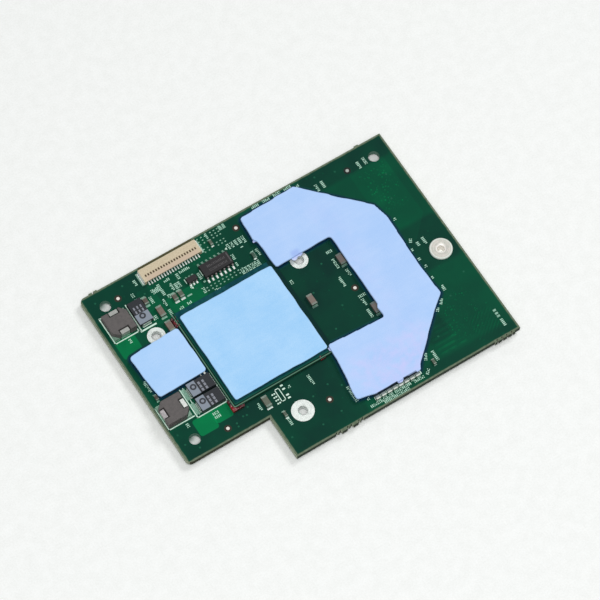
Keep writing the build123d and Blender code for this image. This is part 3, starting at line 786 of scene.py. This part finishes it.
for subpart in frame["record"]["subparts"]:
    slots = frame["nodes"][subpart["node"]].data.materials
    slots.clear()
    slots.append(finishes[subpart["material_slot"]])
brown_ceramic = ceramic_finish("brown_ceramic", (82, 74, 68), (104, 94, 86))
special_finishes = {
    "small_ceramic_capacitors": brown_ceramic,
    "large_ceramic_ends": end_tin, "small_ceramic_ends": end_tin, "underside_capacitor_ends": end_tin,
    "logic_chip_leads": lead_tin, "gate_chip_leads": lead_tin, "power_transistor_leads": lead_tin,
    "choke_terminals": clip_tin, "bulk_capacitor_terminals": clip_tin,
}
for node, finish in special_finishes.items():
    frame["nodes"][node].data.materials[0] = finish


# Shapes

def add_block(shape, low, high):
    """A box between two corners."""
    size = Vector(high) - Vector(low)
    middle = (Vector(high) + Vector(low)) / 2
    place = Matrix.Translation(middle) @ Matrix.Diagonal((*size, 1))
    return bmesh.ops.create_cube(shape, size=1, matrix=place)["verts"]


def add_disc(shape, x, y, radius, bottom, height, sides):
    """A flat round disc."""
    place = Matrix.Translation((x, y, bottom + height / 2))
    bmesh.ops.create_cone(
        shape, cap_ends=True, segments=sides, radius1=radius, radius2=radius, depth=height,
        matrix=place,
    )


def add_tube(shape, x, y, inner, outer, bottom, top, sides=40):
    """A ring or lining with a square section."""
    section = ((inner, bottom), (outer, bottom), (outer, top), (inner, top))
    corners = [shape.verts.new((x + across, y, z)) for across, z in section]
    face = shape.faces.new(corners)
    bmesh.ops.spin(
        shape, geom=[*corners, *face.edges, face], cent=(x, y, 0), axis=(0, 0, 1),
        angle=math.tau, steps=sides, use_merge=True,
    )


def new_object(name, data):
    """An object that is linked to the scene."""
    made = bpy.data.objects.new(name, data)
    bpy.context.scene.collection.objects.link(made)
    return made


def new_mesh(name, shape):
    """A mesh made from a shape, which is then let go."""
    mesh = bpy.data.meshes.new(name)
    shape.to_mesh(mesh)
    shape.free()
    return mesh


def make_piece(name, shape, finish):
    """Finish a shape as a piece of the board, in metres."""
    bmesh.ops.recalc_face_normals(shape, faces=shape.faces)
    bmesh.ops.scale(shape, vec=(MM, MM, MM), verts=shape.verts)
    mesh = new_mesh(name, shape)
    mesh.materials.append(finish)
    mesh.shade_flat()
    piece = new_object(name, mesh)
    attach(piece, "root")


def merged_solid(name):
    """A copy of a CAD node in millimetres, with its loose triangles joined."""
    shape = bmesh.new()
    shape.from_mesh(frame["nodes"][name].data)
    bmesh.ops.scale(shape, vec=(1 / MM, 1 / MM, 1 / MM), verts=shape.verts)
    bmesh.ops.remove_doubles(shape, verts=shape.verts, dist=0.0005)
    return shape


def solid_boxes(name):
    """The lowest and highest corner of each separate solid in a CAD node."""
    shape = merged_solid(name)
    seen = set()
    boxes = []
    for start in shape.verts:
        if start in seen:
            continue
        seen.add(start)
        reached = [start]
        for corner in reached:
            for edge in corner.link_edges:
                other = edge.other_vert(corner)
                if other not in seen:
                    seen.add(other)
                    reached.append(other)
        low = Vector(min(corner.co[i] for corner in reached) for i in range(3))
        high = Vector(max(corner.co[i] for corner in reached) for i in range(3))
        boxes.append((low, high))
    shape.free()
    return boxes


def middle_of(name):
    """The middle of a CAD node, in millimetres."""
    low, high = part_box(name)
    return (low + high) / (2 * MM)


# Lands and solder under the parts

fillet_reach = 0.12
fillet_rise = 0.4
# Feet of the transistors: only those behind this line or to the right of this one have lands that show
transistor_foot = 0.7
transistor_front_y = 0.0
lit_lead_x = -31.2
# Ceramic capacitors: how far a land lies under the end and reaches past it
large_ceramic_height = 1.0
land_under_end = 0.3
short_reach = 0.15
large_reach = 0.5
small_reach_share = 0.5
# Rows that look different: those in front, the large ones on the right, and the ones at the left end
front_row_y = -29.0
dim_land_x = 0.0
lit_land_x = -27.0
hidden_margin = 0.12


def add_fillet(shape, low, high, axis, outward, rise):
    """Solder that climbs the end face of a terminal."""
    near, far = Vector(low), Vector(high)
    if outward > 0:
        near[axis] = high[axis]
        far[axis] = high[axis] + fillet_reach
    else:
        far[axis] = low[axis]
        near[axis] = low[axis] - fillet_reach
    near.z = board_top
    far.z = board_top + rise
    corners = add_block(shape, near, far)
    face = high[axis] if outward > 0 else low[axis]
    for corner in corners:
        if corner.co.z > board_top + rise / 2 and abs(corner.co[axis] - face) > fillet_reach / 2:
            corner.co.z = board_top + land_height


def add_land(shape, low, high, spread):
    """A land a little wider than the foot that stands on it."""
    add_block(
        shape,
        (low.x - spread[0], low.y - spread[1], board_top),
        (high.x + spread[0], high.y + spread[1], board_top + land_height),
    )


def foot_box(low, high, middle_y, length):
    """The part of a lead's box that lies on the board, at its outer end."""
    if (low.y + high.y) / 2 > middle_y:
        return Vector((low.x, high.y - length, low.z)), high
    return low, Vector((high.x, low.y + length, high.z))


# Painted light and shade on one solder: lands in front of their parts are bright, and lands behind them or at
# the left end take the duller bare finish
lands = bmesh.new()
dull_and_shaded_lands = bmesh.new()
dim_lands = bmesh.new()
for leads, body, foot in (("logic_chip_leads", "logic_chip", 0.7), ("gate_chip_leads", "gate_chip", 0.4)):
    body_y = middle_of(body).y
    for low, high in solid_boxes(leads):
        front = (low.y + high.y) / 2 < body_y
        add_land(lands if front else dull_and_shaded_lands, *foot_box(low, high, body_y, foot), (0.06, 0.14))
for low, high in solid_boxes("power_transistor_leads"):
    rows = [box for box in solid_boxes("power_transistors") if box[0].x < high.x and box[1].x > low.x]
    body = min(rows, key=lambda box: abs((box[0].y + box[1].y) / 2 - (low.y + high.y) / 2))
    if low.y > transistor_front_y or low.x > lit_lead_x:
        foot = foot_box(low, high, (body[0].y + body[1].y) / 2, transistor_foot)
        add_land(lands, *foot, (0.08, 0.25))
for low, high in solid_boxes("display_connector_contacts"):
    add_land(lands, low, Vector((high.x, low.y + 0.5, high.z)), (0.03, 0.12))
for node, land, spread in (
    ("display_connector_nails", dull_and_shaded_lands, (0.3, 0.2)), ("choke_terminals", dull_and_shaded_lands, (0.1, 0.1)),
    ("bulk_capacitor_terminals", lands, (0.1, 0.2)),
):
    for low, high in solid_boxes(node):
        add_land(land, low, high, spread)
for ends in ("large_ceramic_ends", "small_ceramic_ends"):
    boxes = solid_boxes(ends)
    for low, high in boxes:
        partners = [box for box in boxes if abs(box[0].x - low.x) < 0.01 and box[0].y != low.y]
        partner = min(partners, key=lambda box: abs(box[0].y - low.y))
        outward = 1 if low.y > partner[0].y else -1
        large = high.z - low.z > large_ceramic_height
        reach = large_reach if large else (high.x - low.x) * small_reach_share
        if low.y < front_row_y or large and outward > 0:
            reach = short_reach
        edge_y = high.y if outward > 0 else low.y
        near, far = sorted((edge_y - outward * land_under_end, edge_y + outward * reach))
        # Painted shade: rear lands and those at the left end take the duller finish
        land = dull_and_shaded_lands if outward > 0 or high.x < lit_land_x else lands
        if large and low.x > dim_land_x:
            land = dim_lands
        add_block(land, (low.x, near, board_top), (high.x, far, board_top + land_height))
        add_fillet(dull_and_shaded_lands, low, high, 1, outward, (high.z - low.z) * fillet_rise)
for node in ("underside_capacitor_ends", "signal_header_contacts", "power_header_contacts"):
    for low, high in solid_boxes(node):
        add_block(
            dull_and_shaded_lands, (low.x - hidden_margin, low.y - hidden_margin, underside - land_height),
            (high.x + hidden_margin, high.y + hidden_margin, underside),
        )
make_piece("component_lands", lands, solder)
make_piece("dull_and_shaded_lands", dull_and_shaded_lands, bare_and_shaded_tin)
dim_land_tin = mottled_finish("dim_lands", (66, 96, 88), (92, 122, 112), 0.3, 0.5, metallic=0.1)
make_piece("dim_lands", dim_lands, dim_land_tin)

# Bare lands where nothing is fitted: middle, half length along x and half length along y
bare_places = [(-16.4 + 1.2 * step, y, 0.2, 0.16) for step in range(10) for y in (19.1, 18.2)]
bare_places += [
    (x, y, 0.2, 0.15)
    for x in (-11.3, -10.1, -7.3, -6.2, -5.2) for y in (28.1, 29.0, 30.6, 31.5, 32.4)
]
bare_places += [(43.8, y, 0.42, 0.3) for y in (-26.0, -27.0, -27.9)]
bare_places += [
    (-37.2, -8.5, 0.5, 1.75), (-37.2, -3.9, 0.5, 1.7), (-16.0, 21.0, 0.3, 0.25), (-21.4, 19.7, 0.7, 0.22),
    (-6.2, 20.5, 0.25, 0.3), (-4.5, 32.2, 0.3, 0.7), (-3.3, 32.2, 0.3, 0.7),
]
array_places = [(x, -18.6 + 0.95 * step, 0.22, 0.2) for x in (-18.35, -17.75) for step in range(4)]
array_places += [(-14.95, y, 0.4, 0.22) for y in (-18.6, -17.7, -15.8, -14.7)]
for name, places, finish in (
    ("bare_lands", bare_places, bare_and_shaded_tin), ("array_lands", array_places, bright_land),
):
    plates = bmesh.new()
    for x, y, half_x, half_y in places:
        low = (x - half_x, y - half_y, board_top)
        add_block(plates, low, (x + half_x, y + half_y, board_top + land_height))
    make_piece(name, plates, finish)

# Plugged vias, which show as faint rounds under the mask
via_places = (
    (-45.0, -12.4), (-44.7, -15.7), (-30.3, -17.6), (-27.9, -16.8), (-26.9, -17.0), (-30.4, -18.6),
    (-41.9, -18.3), (-25.5, -15.2), (-27.0, -14.6), (3.6, -19.8), (-4.6, -20.7), (-9.6, -21.6),
    (-1.6, -22.8), (-5.6, -28.9), (-11.6, -29.6), (-20.3, -28.4), (27.2, -24.5), (32.6, 8.8), (38.9, 15.6),
    (41.6, 22.4), (30.4, 30.2), (24.9, 31.6), (12.7, 9.2), (6.4, 3.2), (10.9, -3.8), (5.8, -8.6),
    (43.2, -12.4), (36.4, -16.4), (-12.8, 31.8), (-15.6, 32.2), (-22.3, 27.3), (-18.8, 20.4), (-43.6, 30.6),
    (-35.0, 31.2), (-31.2, 26.2),
)
via_radius = 0.28
vias = bmesh.new()
for x, y in via_places:
    for bottom in (board_top, underside - ring_height):
        add_disc(vias, x, y, via_radius, bottom, ring_height, 16)
via_finish = mottled_finish("plugged_via", (10, 74, 56), (34, 102, 76), 0.35, 0.5, specular=0.1)
make_piece("plugged_vias", vias, via_finish)

# Reference marks: a tinned dot in a clear ring that shows the brown laminate. One of them looks dim
laminate_brown = mottled_finish("clear_laminate", (44, 48, 40), (64, 54, 46), 0.4, 0.6, specular=0.1)
dark_laminate = mottled_finish("dark_clear_laminate", (26, 34, 32), (42, 50, 44), 0.4, 0.6, specular=0.1)
dot_tin = mottled_finish("dot_tin", (214, 208, 200), (244, 236, 228), 0.3, 0.45, metallic=0.15)
dim_tin = mottled_finish("dim_tin", (150, 156, 150), (190, 194, 188), 0.2, 0.45, metallic=0.1)
for ring_name, ring_finish, dot_name, dot_finish, places in (
    ("reference_rings", laminate_brown, "reference_dots", dot_tin, reference_marks),
    ("dim_ring", dark_laminate, "dim_dot", dim_tin, (dim_mark,)),
):
    rings = bmesh.new()
    dots = bmesh.new()
    for x, y in places:
        add_disc(rings, x, y, reference_ring_radius, board_top, ring_height, 28)
        add_disc(dots, x, y, reference_dot_radius, board_top, land_height, 24)
    make_piece(ring_name, rings, ring_finish)
    make_piece(dot_name, dots, dot_finish)

# Tinned lining of the screw holes, and their lands on the underside
hole_plating = bmesh.new()
for (x, y), diameter in screw_holes:
    lined_radius = screw_hole_radius - barrel_lining
    low = underside - land_height
    add_tube(hole_plating, x, y, lined_radius, screw_hole_radius, low, board_top + land_height)
    add_tube(hole_plating, x, y, screw_hole_radius, diameter / 2, low, underside)
make_piece("hole_plating", hole_plating, solder)


# White print on the board: outlines of the parts, and marks that stand for their names, with white ticks
# among the outlines that are painted highlights
outline_strokes = (
    (-45.1, 17.85, -45.1, 26.2, 0.3), (-45.1, 17.85, -38.0, 17.85, 0.3), (-38.05, 17.85, -38.05, 19.2, 0.3),
    (-45.1, 26.15, -44.2, 26.15, 0.24), (-37.4, 17.5, -37.2, 26.0, 0.3), (-37.5, 17.4, -33.2, 17.4, 0.46),
    (-46.0, -10.1, -46.0, -3.1, 0.3), (-46.0, -10.1, -38.5, -10.1, 0.3), (-46.0, -3.1, -44.2, -3.1, 0.24),
    (-37.95, -11.0, -37.9, -2.0, 0.3), (-37.05, -10.3, -37.0, -2.0, 0.22),
    (-37.9, -11.0, -29.0, -11.0, 0.3), (-29.0, -11.0, -29.0, -2.0, 0.24),
    (-17.15, -18.6, -17.15, -14.9, 0.22), (-16.0, -18.6, -16.0, -14.9, 0.22),
    (-17.15, -18.6, -16.0, -18.6, 0.22), (-17.15, -14.9, -16.0, -14.9, 0.22),
    (-19.3, 22.1, -20.0, 21.4, 0.24), (-20.3, 23.0, -20.3, 24.2, 0.2), (-15.5, 22.6, -15.5, 24.5, 0.16),
    (-32.9, 18.4, -32.9, 19.4, 0.2), (-45.6, -8.4, -45.6, -7.5, 0.5), (3.7, -31.9, 4.0, -29.5, 0.3),
)
# Marks: middle, length of the row, and degrees from the board's long side
name_marks = (
    (-28.2, 25.9, 2.6, 0), (-28.2, 25.2, 2.4, 0), (-24.3, 26.6, 2.0, 0), (-18.8, 26.7, 3.2, 0),
    (-23.0, 23.8, 1.9, 90), (-22.1, 23.8, 1.9, 90), (-30.6, 23.7, 2.4, 90), (-26.9, 24.0, 2.0, 90),
    (-28.1, 21.3, 2.5, 90), (-28.2, 18.0, 2.2, 90), (-17.4, 18.9, 1.8, 90), (-25.1, 17.7, 1.6, 0),
    (-22.6, 17.9, 1.6, 0), (-14.2, 17.3, 1.8, 0),
    *((x, 18.2, 1.9, 90) for x in (-5.9, -4.9, -3.9, -2.9, -2.0, -1.1)),
    (-0.9, 20.9, 2.4, 90), (0.4, 20.9, 2.4, 90),
    *((x, 26.3, 1.9, 90) for x in (-5.4, -4.3, -3.1, -1.9)),
    (-0.8, 26.1, 2.3, 90), (-5.9, 23.1, 2.0, 90), (-16.3, 23.4, 1.4, 90), (-6.3, 20.8, 1.2, 90),
    (-8.8, 32.0, 1.9, 90), (-4.3, 32.1, 1.5, 90), (-3.3, 32.1, 1.5, 90), (-33.4, -12.3, 1.9, 0),
    (-33.4, -13.4, 1.9, 0), (-41.3, -11.5, 1.5, 90), (-41.4, 16.6, 1.3, 90), (-34.1, 27.4, 1.3, 90),
    (-22.9, -16.8, 2.4, 90), (-7.6, -17.3, 3.4, 90), (-13.4, -16.0, 1.0, 90), (-18.4, -23.5, 4.2, 90),
    (-0.7, -26.4, 5.0, 90), (2.1, -29.7, 0.8, 0), (2.5, -32.0, 2.2, 0), (19.4, -31.4, 1.8, 45),
    (23.5, -28.6, 3.0, 90), (21.2, -27.6, 2.4, 60), (36.1, -13.5, 2.0, 90), (33.4, -16.5, 2.0, 50),
    (31.3, -18.0, 1.6, 50), (35.2, -9.5, 1.0, 90), (43.9, -30.0, 2.4, 90), (23.8, 28.6, 2.2, 90),
    (25.7, 28.7, 2.5, 90), (36.9, 28.5, 2.2, 90), (38.9, 28.8, 2.4, 90), (36.2, 10.0, 1.0, 90),
    (36.3, 2.5, 1.6, 60), (35.1, 0.0, 1.0, 90), (37.5, 0.7, 1.6, 90), (39.4, 0.7, 2.4, 90),
    (-31.7, 30.2, 2.0, 90), (-34.0, 26.0, 0.1, 90), (6.9, 32.7, 2.4, 0), (10.3, 32.7, 2.4, 0),
    (13.7, 32.8, 2.4, 0), (17.0, 32.8, 2.4, 0), (19.7, 31.9, 0.9, 0), (-44.5, 3.2, 3.8, 90),
    (16.3, 11.1, 2.0, 0), (15.9, 7.3, 3.0, 90), (14.5, 2.0, 3.2, 90), (17.4, 3.4, 2.4, 90),
    (16.8, -4.1, 2.4, 0), (16.2, -6.0, 2.4, 90), (15.8, -9.5, 2.6, 90), (3.2, 8.8, 1.4, 90),
    (6.0, -32.0, 5.2, 0), (11.4, -31.8, 5.0, 0), (16.3, -32.0, 3.4, 0), (9.0, -32.8, 8.0, 0),
    (-15.2, -24.0, 0.1, 0), (-32.2, 18.9, 1.3, 90), (-16.3, 22.4, 0.9, 90), (-24.1, 24.2, 2.4, 90),
    (-27.0, 25.9, 1.8, 90), (-21.2, 26.0, 1.8, 90), (-26.1, 22.2, 1.4, 90), (-2.4, 24.4, 0.1, 90),
    (35.3, -3.2, 0.8, 90), (35.6, -5.8, 0.8, 90),
)
first_lead_marks = ((-6.2, 26.1), (-19.6, 21.1))
first_lead_mark_radius = 0.42
# Ticks between the capacitors of the front row, painted highlights drawn in white: place of the first,
# number, pitch, ends and width
tick_x, tick_count, tick_pitch = 3.7, 9, 1.745
tick_front, tick_rear = -30.9, -30.3
tick_width = 0.3
mark_width = 0.78
mark_pitch = 0.46
mark_stroke = 0.26


def add_stroke(shape, x0, y0, x1, y1, width, bottom=board_top):
    """A straight stroke of ink between two points."""
    run = Vector((x1 - x0, y1 - y0))
    turn = math.atan2(run.y, run.x)
    place = (
        Matrix.Translation(((x0 + x1) / 2, (y0 + y1) / 2, bottom + ink_height / 2))
        @ Matrix.Rotation(turn, 4, "Z")
        @ Matrix.Diagonal((run.length + width, width, ink_height, 1))
    )
    bmesh.ops.create_cube(shape, size=1, matrix=place)


def add_marks(shape, x, y, length, degrees, dice, bottom=board_top, scale=1.0):
    """A short row of bars and dots, as fine print looks from afar."""
    along = Vector((math.cos(math.radians(degrees)), math.sin(math.radians(degrees))))
    across = Vector((-along.y, along.x))
    half = (mark_width - mark_stroke) * scale / 2
    bars = max(1, round(length / (mark_pitch * scale)))
    for step in range(bars):
        middle = Vector((x, y)) + along * (step - (bars - 1) / 2) * mark_pitch * scale
        spans = {"bar": ((-half, half),), "dots": ((-half, -half), (half, half)), "short": ((-half, 0),)}
        for start, end in spans[dice.choice(("bar", "bar", "dots", "short"))]:
            first = middle + across * start
            last = middle + across * (end + 0.001)
            add_stroke(shape, *first, *last, mark_stroke * scale, bottom)


print_dice = random.Random(7)
outlines_and_highlight_ticks = bmesh.new()
for x0, y0, x1, y1, width in outline_strokes:
    add_stroke(outlines_and_highlight_ticks, x0, y0, x1, y1, width)
for x, y in first_lead_marks:
    place = Matrix.Translation((x, y, board_top + ink_height / 2)) @ Matrix.Rotation(math.pi / 2, 4, "Z")
    bmesh.ops.create_cone(
        outlines_and_highlight_ticks, cap_ends=True, segments=3, radius1=first_lead_mark_radius,
        radius2=first_lead_mark_radius, depth=ink_height, matrix=place,
    )
# Painted highlights: white ticks between the capacitors of the front row
for step in range(tick_count):
    x = tick_x + tick_pitch * step
    add_stroke(outlines_and_highlight_ticks, x, tick_front, x, tick_rear, tick_width)
make_piece("outlines_and_highlight_ticks", outlines_and_highlight_ticks, outline_and_highlight_ink)
board_print = bmesh.new()
for x, y, length, degrees in name_marks:
    add_marks(board_print, x, y, length, degrees, print_dice)
make_piece("board_print", board_print, ink)

# Pale print on the moulded capacitors: marks with their place from the body's middle, width and length,
# and a ring with a dot on the edge of the band
upright_marks = [(x, y, 0.42, 0.85) for x in (-1.05, -0.05, 0.95) for y in (1.2, 0.05)]
level_marks = [(x, y, 0.6, 0.4) for x in (-0.25, 0.95) for y in (-1.45, -0.4, 0.6)]
upright_ring = (-0.1, -1.5)
level_ring = (-2.05, 0.4)
ring_inner, ring_outer = 0.42, 0.88
ring_dot_radius = 0.24
body_print = bmesh.new()
ring_print = bmesh.new()
for low, high in solid_boxes("bulk_capacitors"):
    middle = (low + high) / 2
    upright = high.y - low.y > high.x - low.x
    for x, y, width, length in upright_marks if upright else level_marks:
        add_stroke(
            body_print, middle.x + x, middle.y + y - (length - width) / 2,
            middle.x + x + 0.001, middle.y + y + (length - width) / 2, width, high.z,
        )
    ring_x, ring_y = upright_ring if upright else level_ring
    ring_x += middle.x
    ring_y += middle.y
    add_tube(ring_print, ring_x, ring_y, ring_inner, ring_outer, high.z, high.z + ink_height, 24)
    add_disc(body_print, ring_x, ring_y, ring_dot_radius, high.z, ink_height, 16)
grey_ink = mottled_finish("grey_ink", (112, 116, 126), (144, 148, 158), 0.2, 0.6)
dark_ink = mottled_finish("dark_ink", (34, 38, 46), (50, 54, 62), 0.2, 0.6)
make_piece("capacitor_print", body_print, grey_ink)
make_piece("capacitor_rings", ring_print, dark_ink)

# Faint print on the logic chip, with a paler bar across its right end
faint_ink = mottled_finish("laser_mark", (66, 64, 66), (84, 82, 84), 0.2, 0.6)
logic_low, logic_high = solid_boxes("logic_chip")[0]
logic_middle = (logic_low + logic_high) / 2
chip_print = bmesh.new()
for y in (logic_middle.y + 0.55, logic_middle.y - 0.75):
    add_marks(chip_print, logic_middle.x + 0.2, y, 5.4, 0, print_dice, logic_high.z, 0.85)
end_bar_x = logic_high.x - 0.5
add_stroke(chip_print, end_bar_x, logic_middle.y - 1.3, end_bar_x, logic_middle.y + 1.3, 0.35, logic_high.z)
make_piece("logic_chip_print", chip_print, faint_ink)


# Soft pieces

def even_skin(node, name, voxel, rounding):
    """A node's solid with an even skin of small faces and rounded edges."""
    shape = merged_solid(node)
    bmesh.ops.scale(shape, vec=(MM, MM, MM), verts=shape.verts)
    piece = new_object(name, new_mesh(name, shape))
    remesh = piece.modifiers.new("even_skin", "REMESH")
    remesh.mode = "VOXEL"
    remesh.voxel_size = voxel * MM
    piece.modifiers.new("round_edges", "SMOOTH").iterations = rounding
    bpy.context.view_layer.update()
    skin = bpy.data.meshes.new_from_object(piece.evaluated_get(bpy.context.evaluated_depsgraph_get()))
    piece.modifiers.clear()
    piece.data = skin
    return piece


def finish_skin(piece, finish):
    """Give a skin its one finish and a smooth shading."""
    piece.data.materials.clear()
    piece.data.materials.append(finish)
    piece.data.shade_smooth()


def soft_pad(node, name, finish, voxel, seed):
    """A sheet of silicone cut by hand: rounded at its edges, a little wavy and uneven."""
    pad = even_skin(node, name, voxel, pad_rounding)
    low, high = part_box(node)
    thickness = high.z - low.z
    offset = Vector((seed * 3.7, seed * 1.3, 0))
    for vertex in pad.data.vertices:
        place = Vector((vertex.co.x / MM, vertex.co.y / MM, 0))
        level = (vertex.co.z - low.z) / thickness
        sway = noise.noise_vector(place / sway_length + offset)
        lift = noise.noise(place / dip_length + offset)
        vertex.co.x += sway.x * pad_sway * MM
        vertex.co.y += sway.y * pad_sway * MM
        vertex.co.z -= (0.5 + 0.5 * lift) * level * pad_dip * MM
    finish_skin(pad, finish)
    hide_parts(node)
    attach(pad, "root")


pale_blue = pad_finish("pale_blue_silicone", (163, 206, 251), (188, 219, 255))
pad_rounding = 3
sway_length = 3.2
pad_sway = 0.16
dip_length = 8.0
pad_dip = 0.12
noise_seed = 5
noise.seed_set(noise_seed)
soft_pad("gpu_thermal_pad", "gpu_pad_skin", finishes["blue_pad"], 0.17, 1)
soft_pad("memory_thermal_pad", "memory_pad_skin", finishes["violet_pad"], 0.24, 2)
soft_pad("power_thermal_pad", "power_pad_skin", pale_blue, 0.2, 3)

# Painted shadow: a dark band on the mask round the pads, shifted towards +X and +Y
shadow_shift = Vector((0.35, 0.45, 0))
shadow_inner, shadow_middle, shadow_outer = -0.8, 0.55, 0.95
shadow_step = 0.5
shadow_height = 0.012


def spread_outline(points, reach):
    """An outline moved outwards by a distance."""
    moved = []
    for index, point in enumerate(points):
        before = (point - points[index - 1]).normalized()
        after = (points[(index + 1) % len(points)] - point).normalized()
        along = (before + after).normalized()
        outward = Vector((along.y, -along.x, 0))
        square = Vector((before.y, -before.x, 0))
        moved.append(point + outward * (reach / max(0.5, outward.dot(square))))
    return moved


def pad_outline(node):
    """The outline of a pad, counterclockwise as seen from above, at the board's height."""
    shape = merged_solid(node)
    under = [face for face in shape.faces if face.normal.z < -0.9]
    bmesh.ops.dissolve_faces(shape, faces=under)
    sheet = max((face for face in shape.faces if face.normal.z < -0.9), key=lambda face: face.calc_area())
    points = [Vector((loop.vert.co.x, loop.vert.co.y, board_top)) for loop in reversed(sheet.loops)]
    shape.free()
    return points


deep_pad_shadow = mottled_finish("deep_pad_shadow", (8, 44, 70), (14, 56, 74), 1.0, 0.5, specular=0.05)
faint_pad_shadow = mottled_finish("faint_pad_shadow", (12, 58, 58), (18, 70, 62), 1.0, 0.5, specular=0.05)


def add_pad_shadow(shape, node, near, far):
    """A band of painted shadow round a pad in short lengths, left out where a screw hole's land lies."""
    outline = pad_outline(node)
    inner = spread_outline(outline, near)
    outer = spread_outline(outline, far)
    for index, (start_in, start_out) in enumerate(zip(inner, outer)):
        end_in = inner[(index + 1) % len(inner)]
        end_out = outer[(index + 1) % len(outer)]
        steps = max(1, round((end_out - start_out).length / shadow_step))
        for step in range(steps):
            ahead = (step + 1) / steps
            here = step / steps
            corners = (
                start_in.lerp(end_in, here), start_out.lerp(end_out, here),
                start_out.lerp(end_out, ahead), start_in.lerp(end_in, ahead),
            )
            corners = [corner + shadow_shift for corner in corners]
            if all(
                math.dist(corner.xy, place) > diameter / 2
                for corner in corners for place, diameter in screw_holes
            ):
                level = board_top + shadow_height
                shape.faces.new([shape.verts.new((corner.x, corner.y, level)) for corner in corners])


for name, near, far, finish in (
    ("deep_pad_shadow_band", shadow_inner, shadow_middle, deep_pad_shadow),
    ("faint_pad_shadow_band", shadow_middle, shadow_outer, faint_pad_shadow),
):
    shadow_band = bmesh.new()
    for node in ("memory_thermal_pad", "power_thermal_pad"):
        add_pad_shadow(shadow_band, node, near, far)
    bmesh.ops.remove_doubles(shadow_band, verts=shadow_band.verts, dist=0.001)
    make_piece(name, shadow_band, finish)

# Torn film at the pad's edges: outlines on the board
film_scraps = (
    ((6.33, 14.5), (6.5, 13.55), (6.95, 13.1), (7.65, 13.25), (8.25, 13.7), (8.95, 13.45), (9.65, 13.75),
     (10.15, 14.5)),
    ((10.63, -29.95), (10.7, -30.45), (11.15, -30.75), (11.85, -30.8), (12.33, -30.5), (12.38, -29.95)),
    ((1.33, 24.2), (0.68, 23.9), (0.38, 23.45), (0.48, 23.2), (0.93, 23.2), (1.38, 23.0)),
    ((0.53, -12.7), (0.63, -13.6), (1.33, -13.8), (1.53, -13.3), (1.13, -12.6)),
)
film_thickness = 0.2
film_gap = 0.03
film_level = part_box("memory_thermal_pad")[0].z / MM + film_gap
film = bmesh.new()
for outline in film_scraps:
    sheet = film.faces.new([film.verts.new((x, y, film_level)) for x, y in outline])
    raised = bmesh.ops.extrude_face_region(film, geom=[sheet])["geom"]
    corners = [part for part in raised if isinstance(part, bmesh.types.BMVert)]
    bmesh.ops.translate(film, vec=(0, 0, film_thickness), verts=corners)
film_skin = mottled_finish("torn_film", (150, 168, 224), (212, 222, 250), 1.2, 0.6, depth=0.02)
make_piece("torn_film", film, film_skin)

# Beads of adhesive at the corners of the carrier
glue_rounding = 14
glue_lump_length = 0.625
glue_lump_share = 0.3
glue_beads = even_skin("gpu_corner_glue", "glue_beads", 0.09, glue_rounding)
for vertex in glue_beads.data.vertices:
    place = Vector((vertex.co.x / MM, vertex.co.y / MM, 0))
    lump = noise.noise(place / glue_lump_length)
    vertex.co.z -= (0.5 + 0.5 * lump) * glue_lump_share * (vertex.co.z - board_top * MM)
finish_skin(glue_beads, finishes["red_adhesive"])
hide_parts("gpu_corner_glue")
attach(glue_beads, "root")

# Paper under the board, lamps and camera
paper_half = 1.5
paper_shape = bmesh.new()
bmesh.ops.create_grid(paper_shape, x_segments=1, y_segments=1, size=paper_half)
paper_mesh = new_mesh("paper", paper_shape)
paper_mesh.materials.append(paper_finish())
paper = new_object("paper", paper_mesh)

sky_colour = (1.0, 1.0, 0.99, 1)
sky_strength = 0.245
world = bpy.data.worlds.new("studio")
world.use_nodes = True
sky = world.node_tree.nodes["Background"]
sky.inputs["Color"].default_value = sky_colour
sky.inputs["Strength"].default_value = sky_strength
bpy.context.scene.world = world


def add_lamp(name, azimuth, elevation, distance, size, power):
    """A square soft lamp that faces the board, with its azimuth counted from +X towards +Y."""
    lamp = bpy.data.lights.new(name, "AREA")
    lamp.shape = "SQUARE"
    lamp.size = size
    lamp.energy = power
    lamp_object = new_object(name, lamp)
    turn, rise = math.radians(azimuth), math.radians(elevation)
    toward = Vector((math.cos(rise) * math.cos(turn), math.cos(rise) * math.sin(turn), math.sin(rise)))
    lamp_object.location = toward * distance
    lamp_object.rotation_euler = toward.to_track_quat("Z", "Y").to_euler()


add_lamp("key", 15, 55, 1.2, 0.42, 4.3)
add_lamp("fill", 234, 69, 1.2, 0.5, 8.2)

camera = bpy.data.cameras.new("camera")
camera.lens = camera_lens
camera.sensor_width = camera_sensor
camera.clip_start = nearest_view
camera_object = new_object("camera", camera)
axes = Matrix((camera_right, camera_up, camera_back)).transposed().to_4x4()
camera_object.matrix_world = Matrix.Translation(camera_place) @ axes
bpy.context.scene.camera = camera_object

bpy.context.scene.view_settings.view_transform = "Standard"
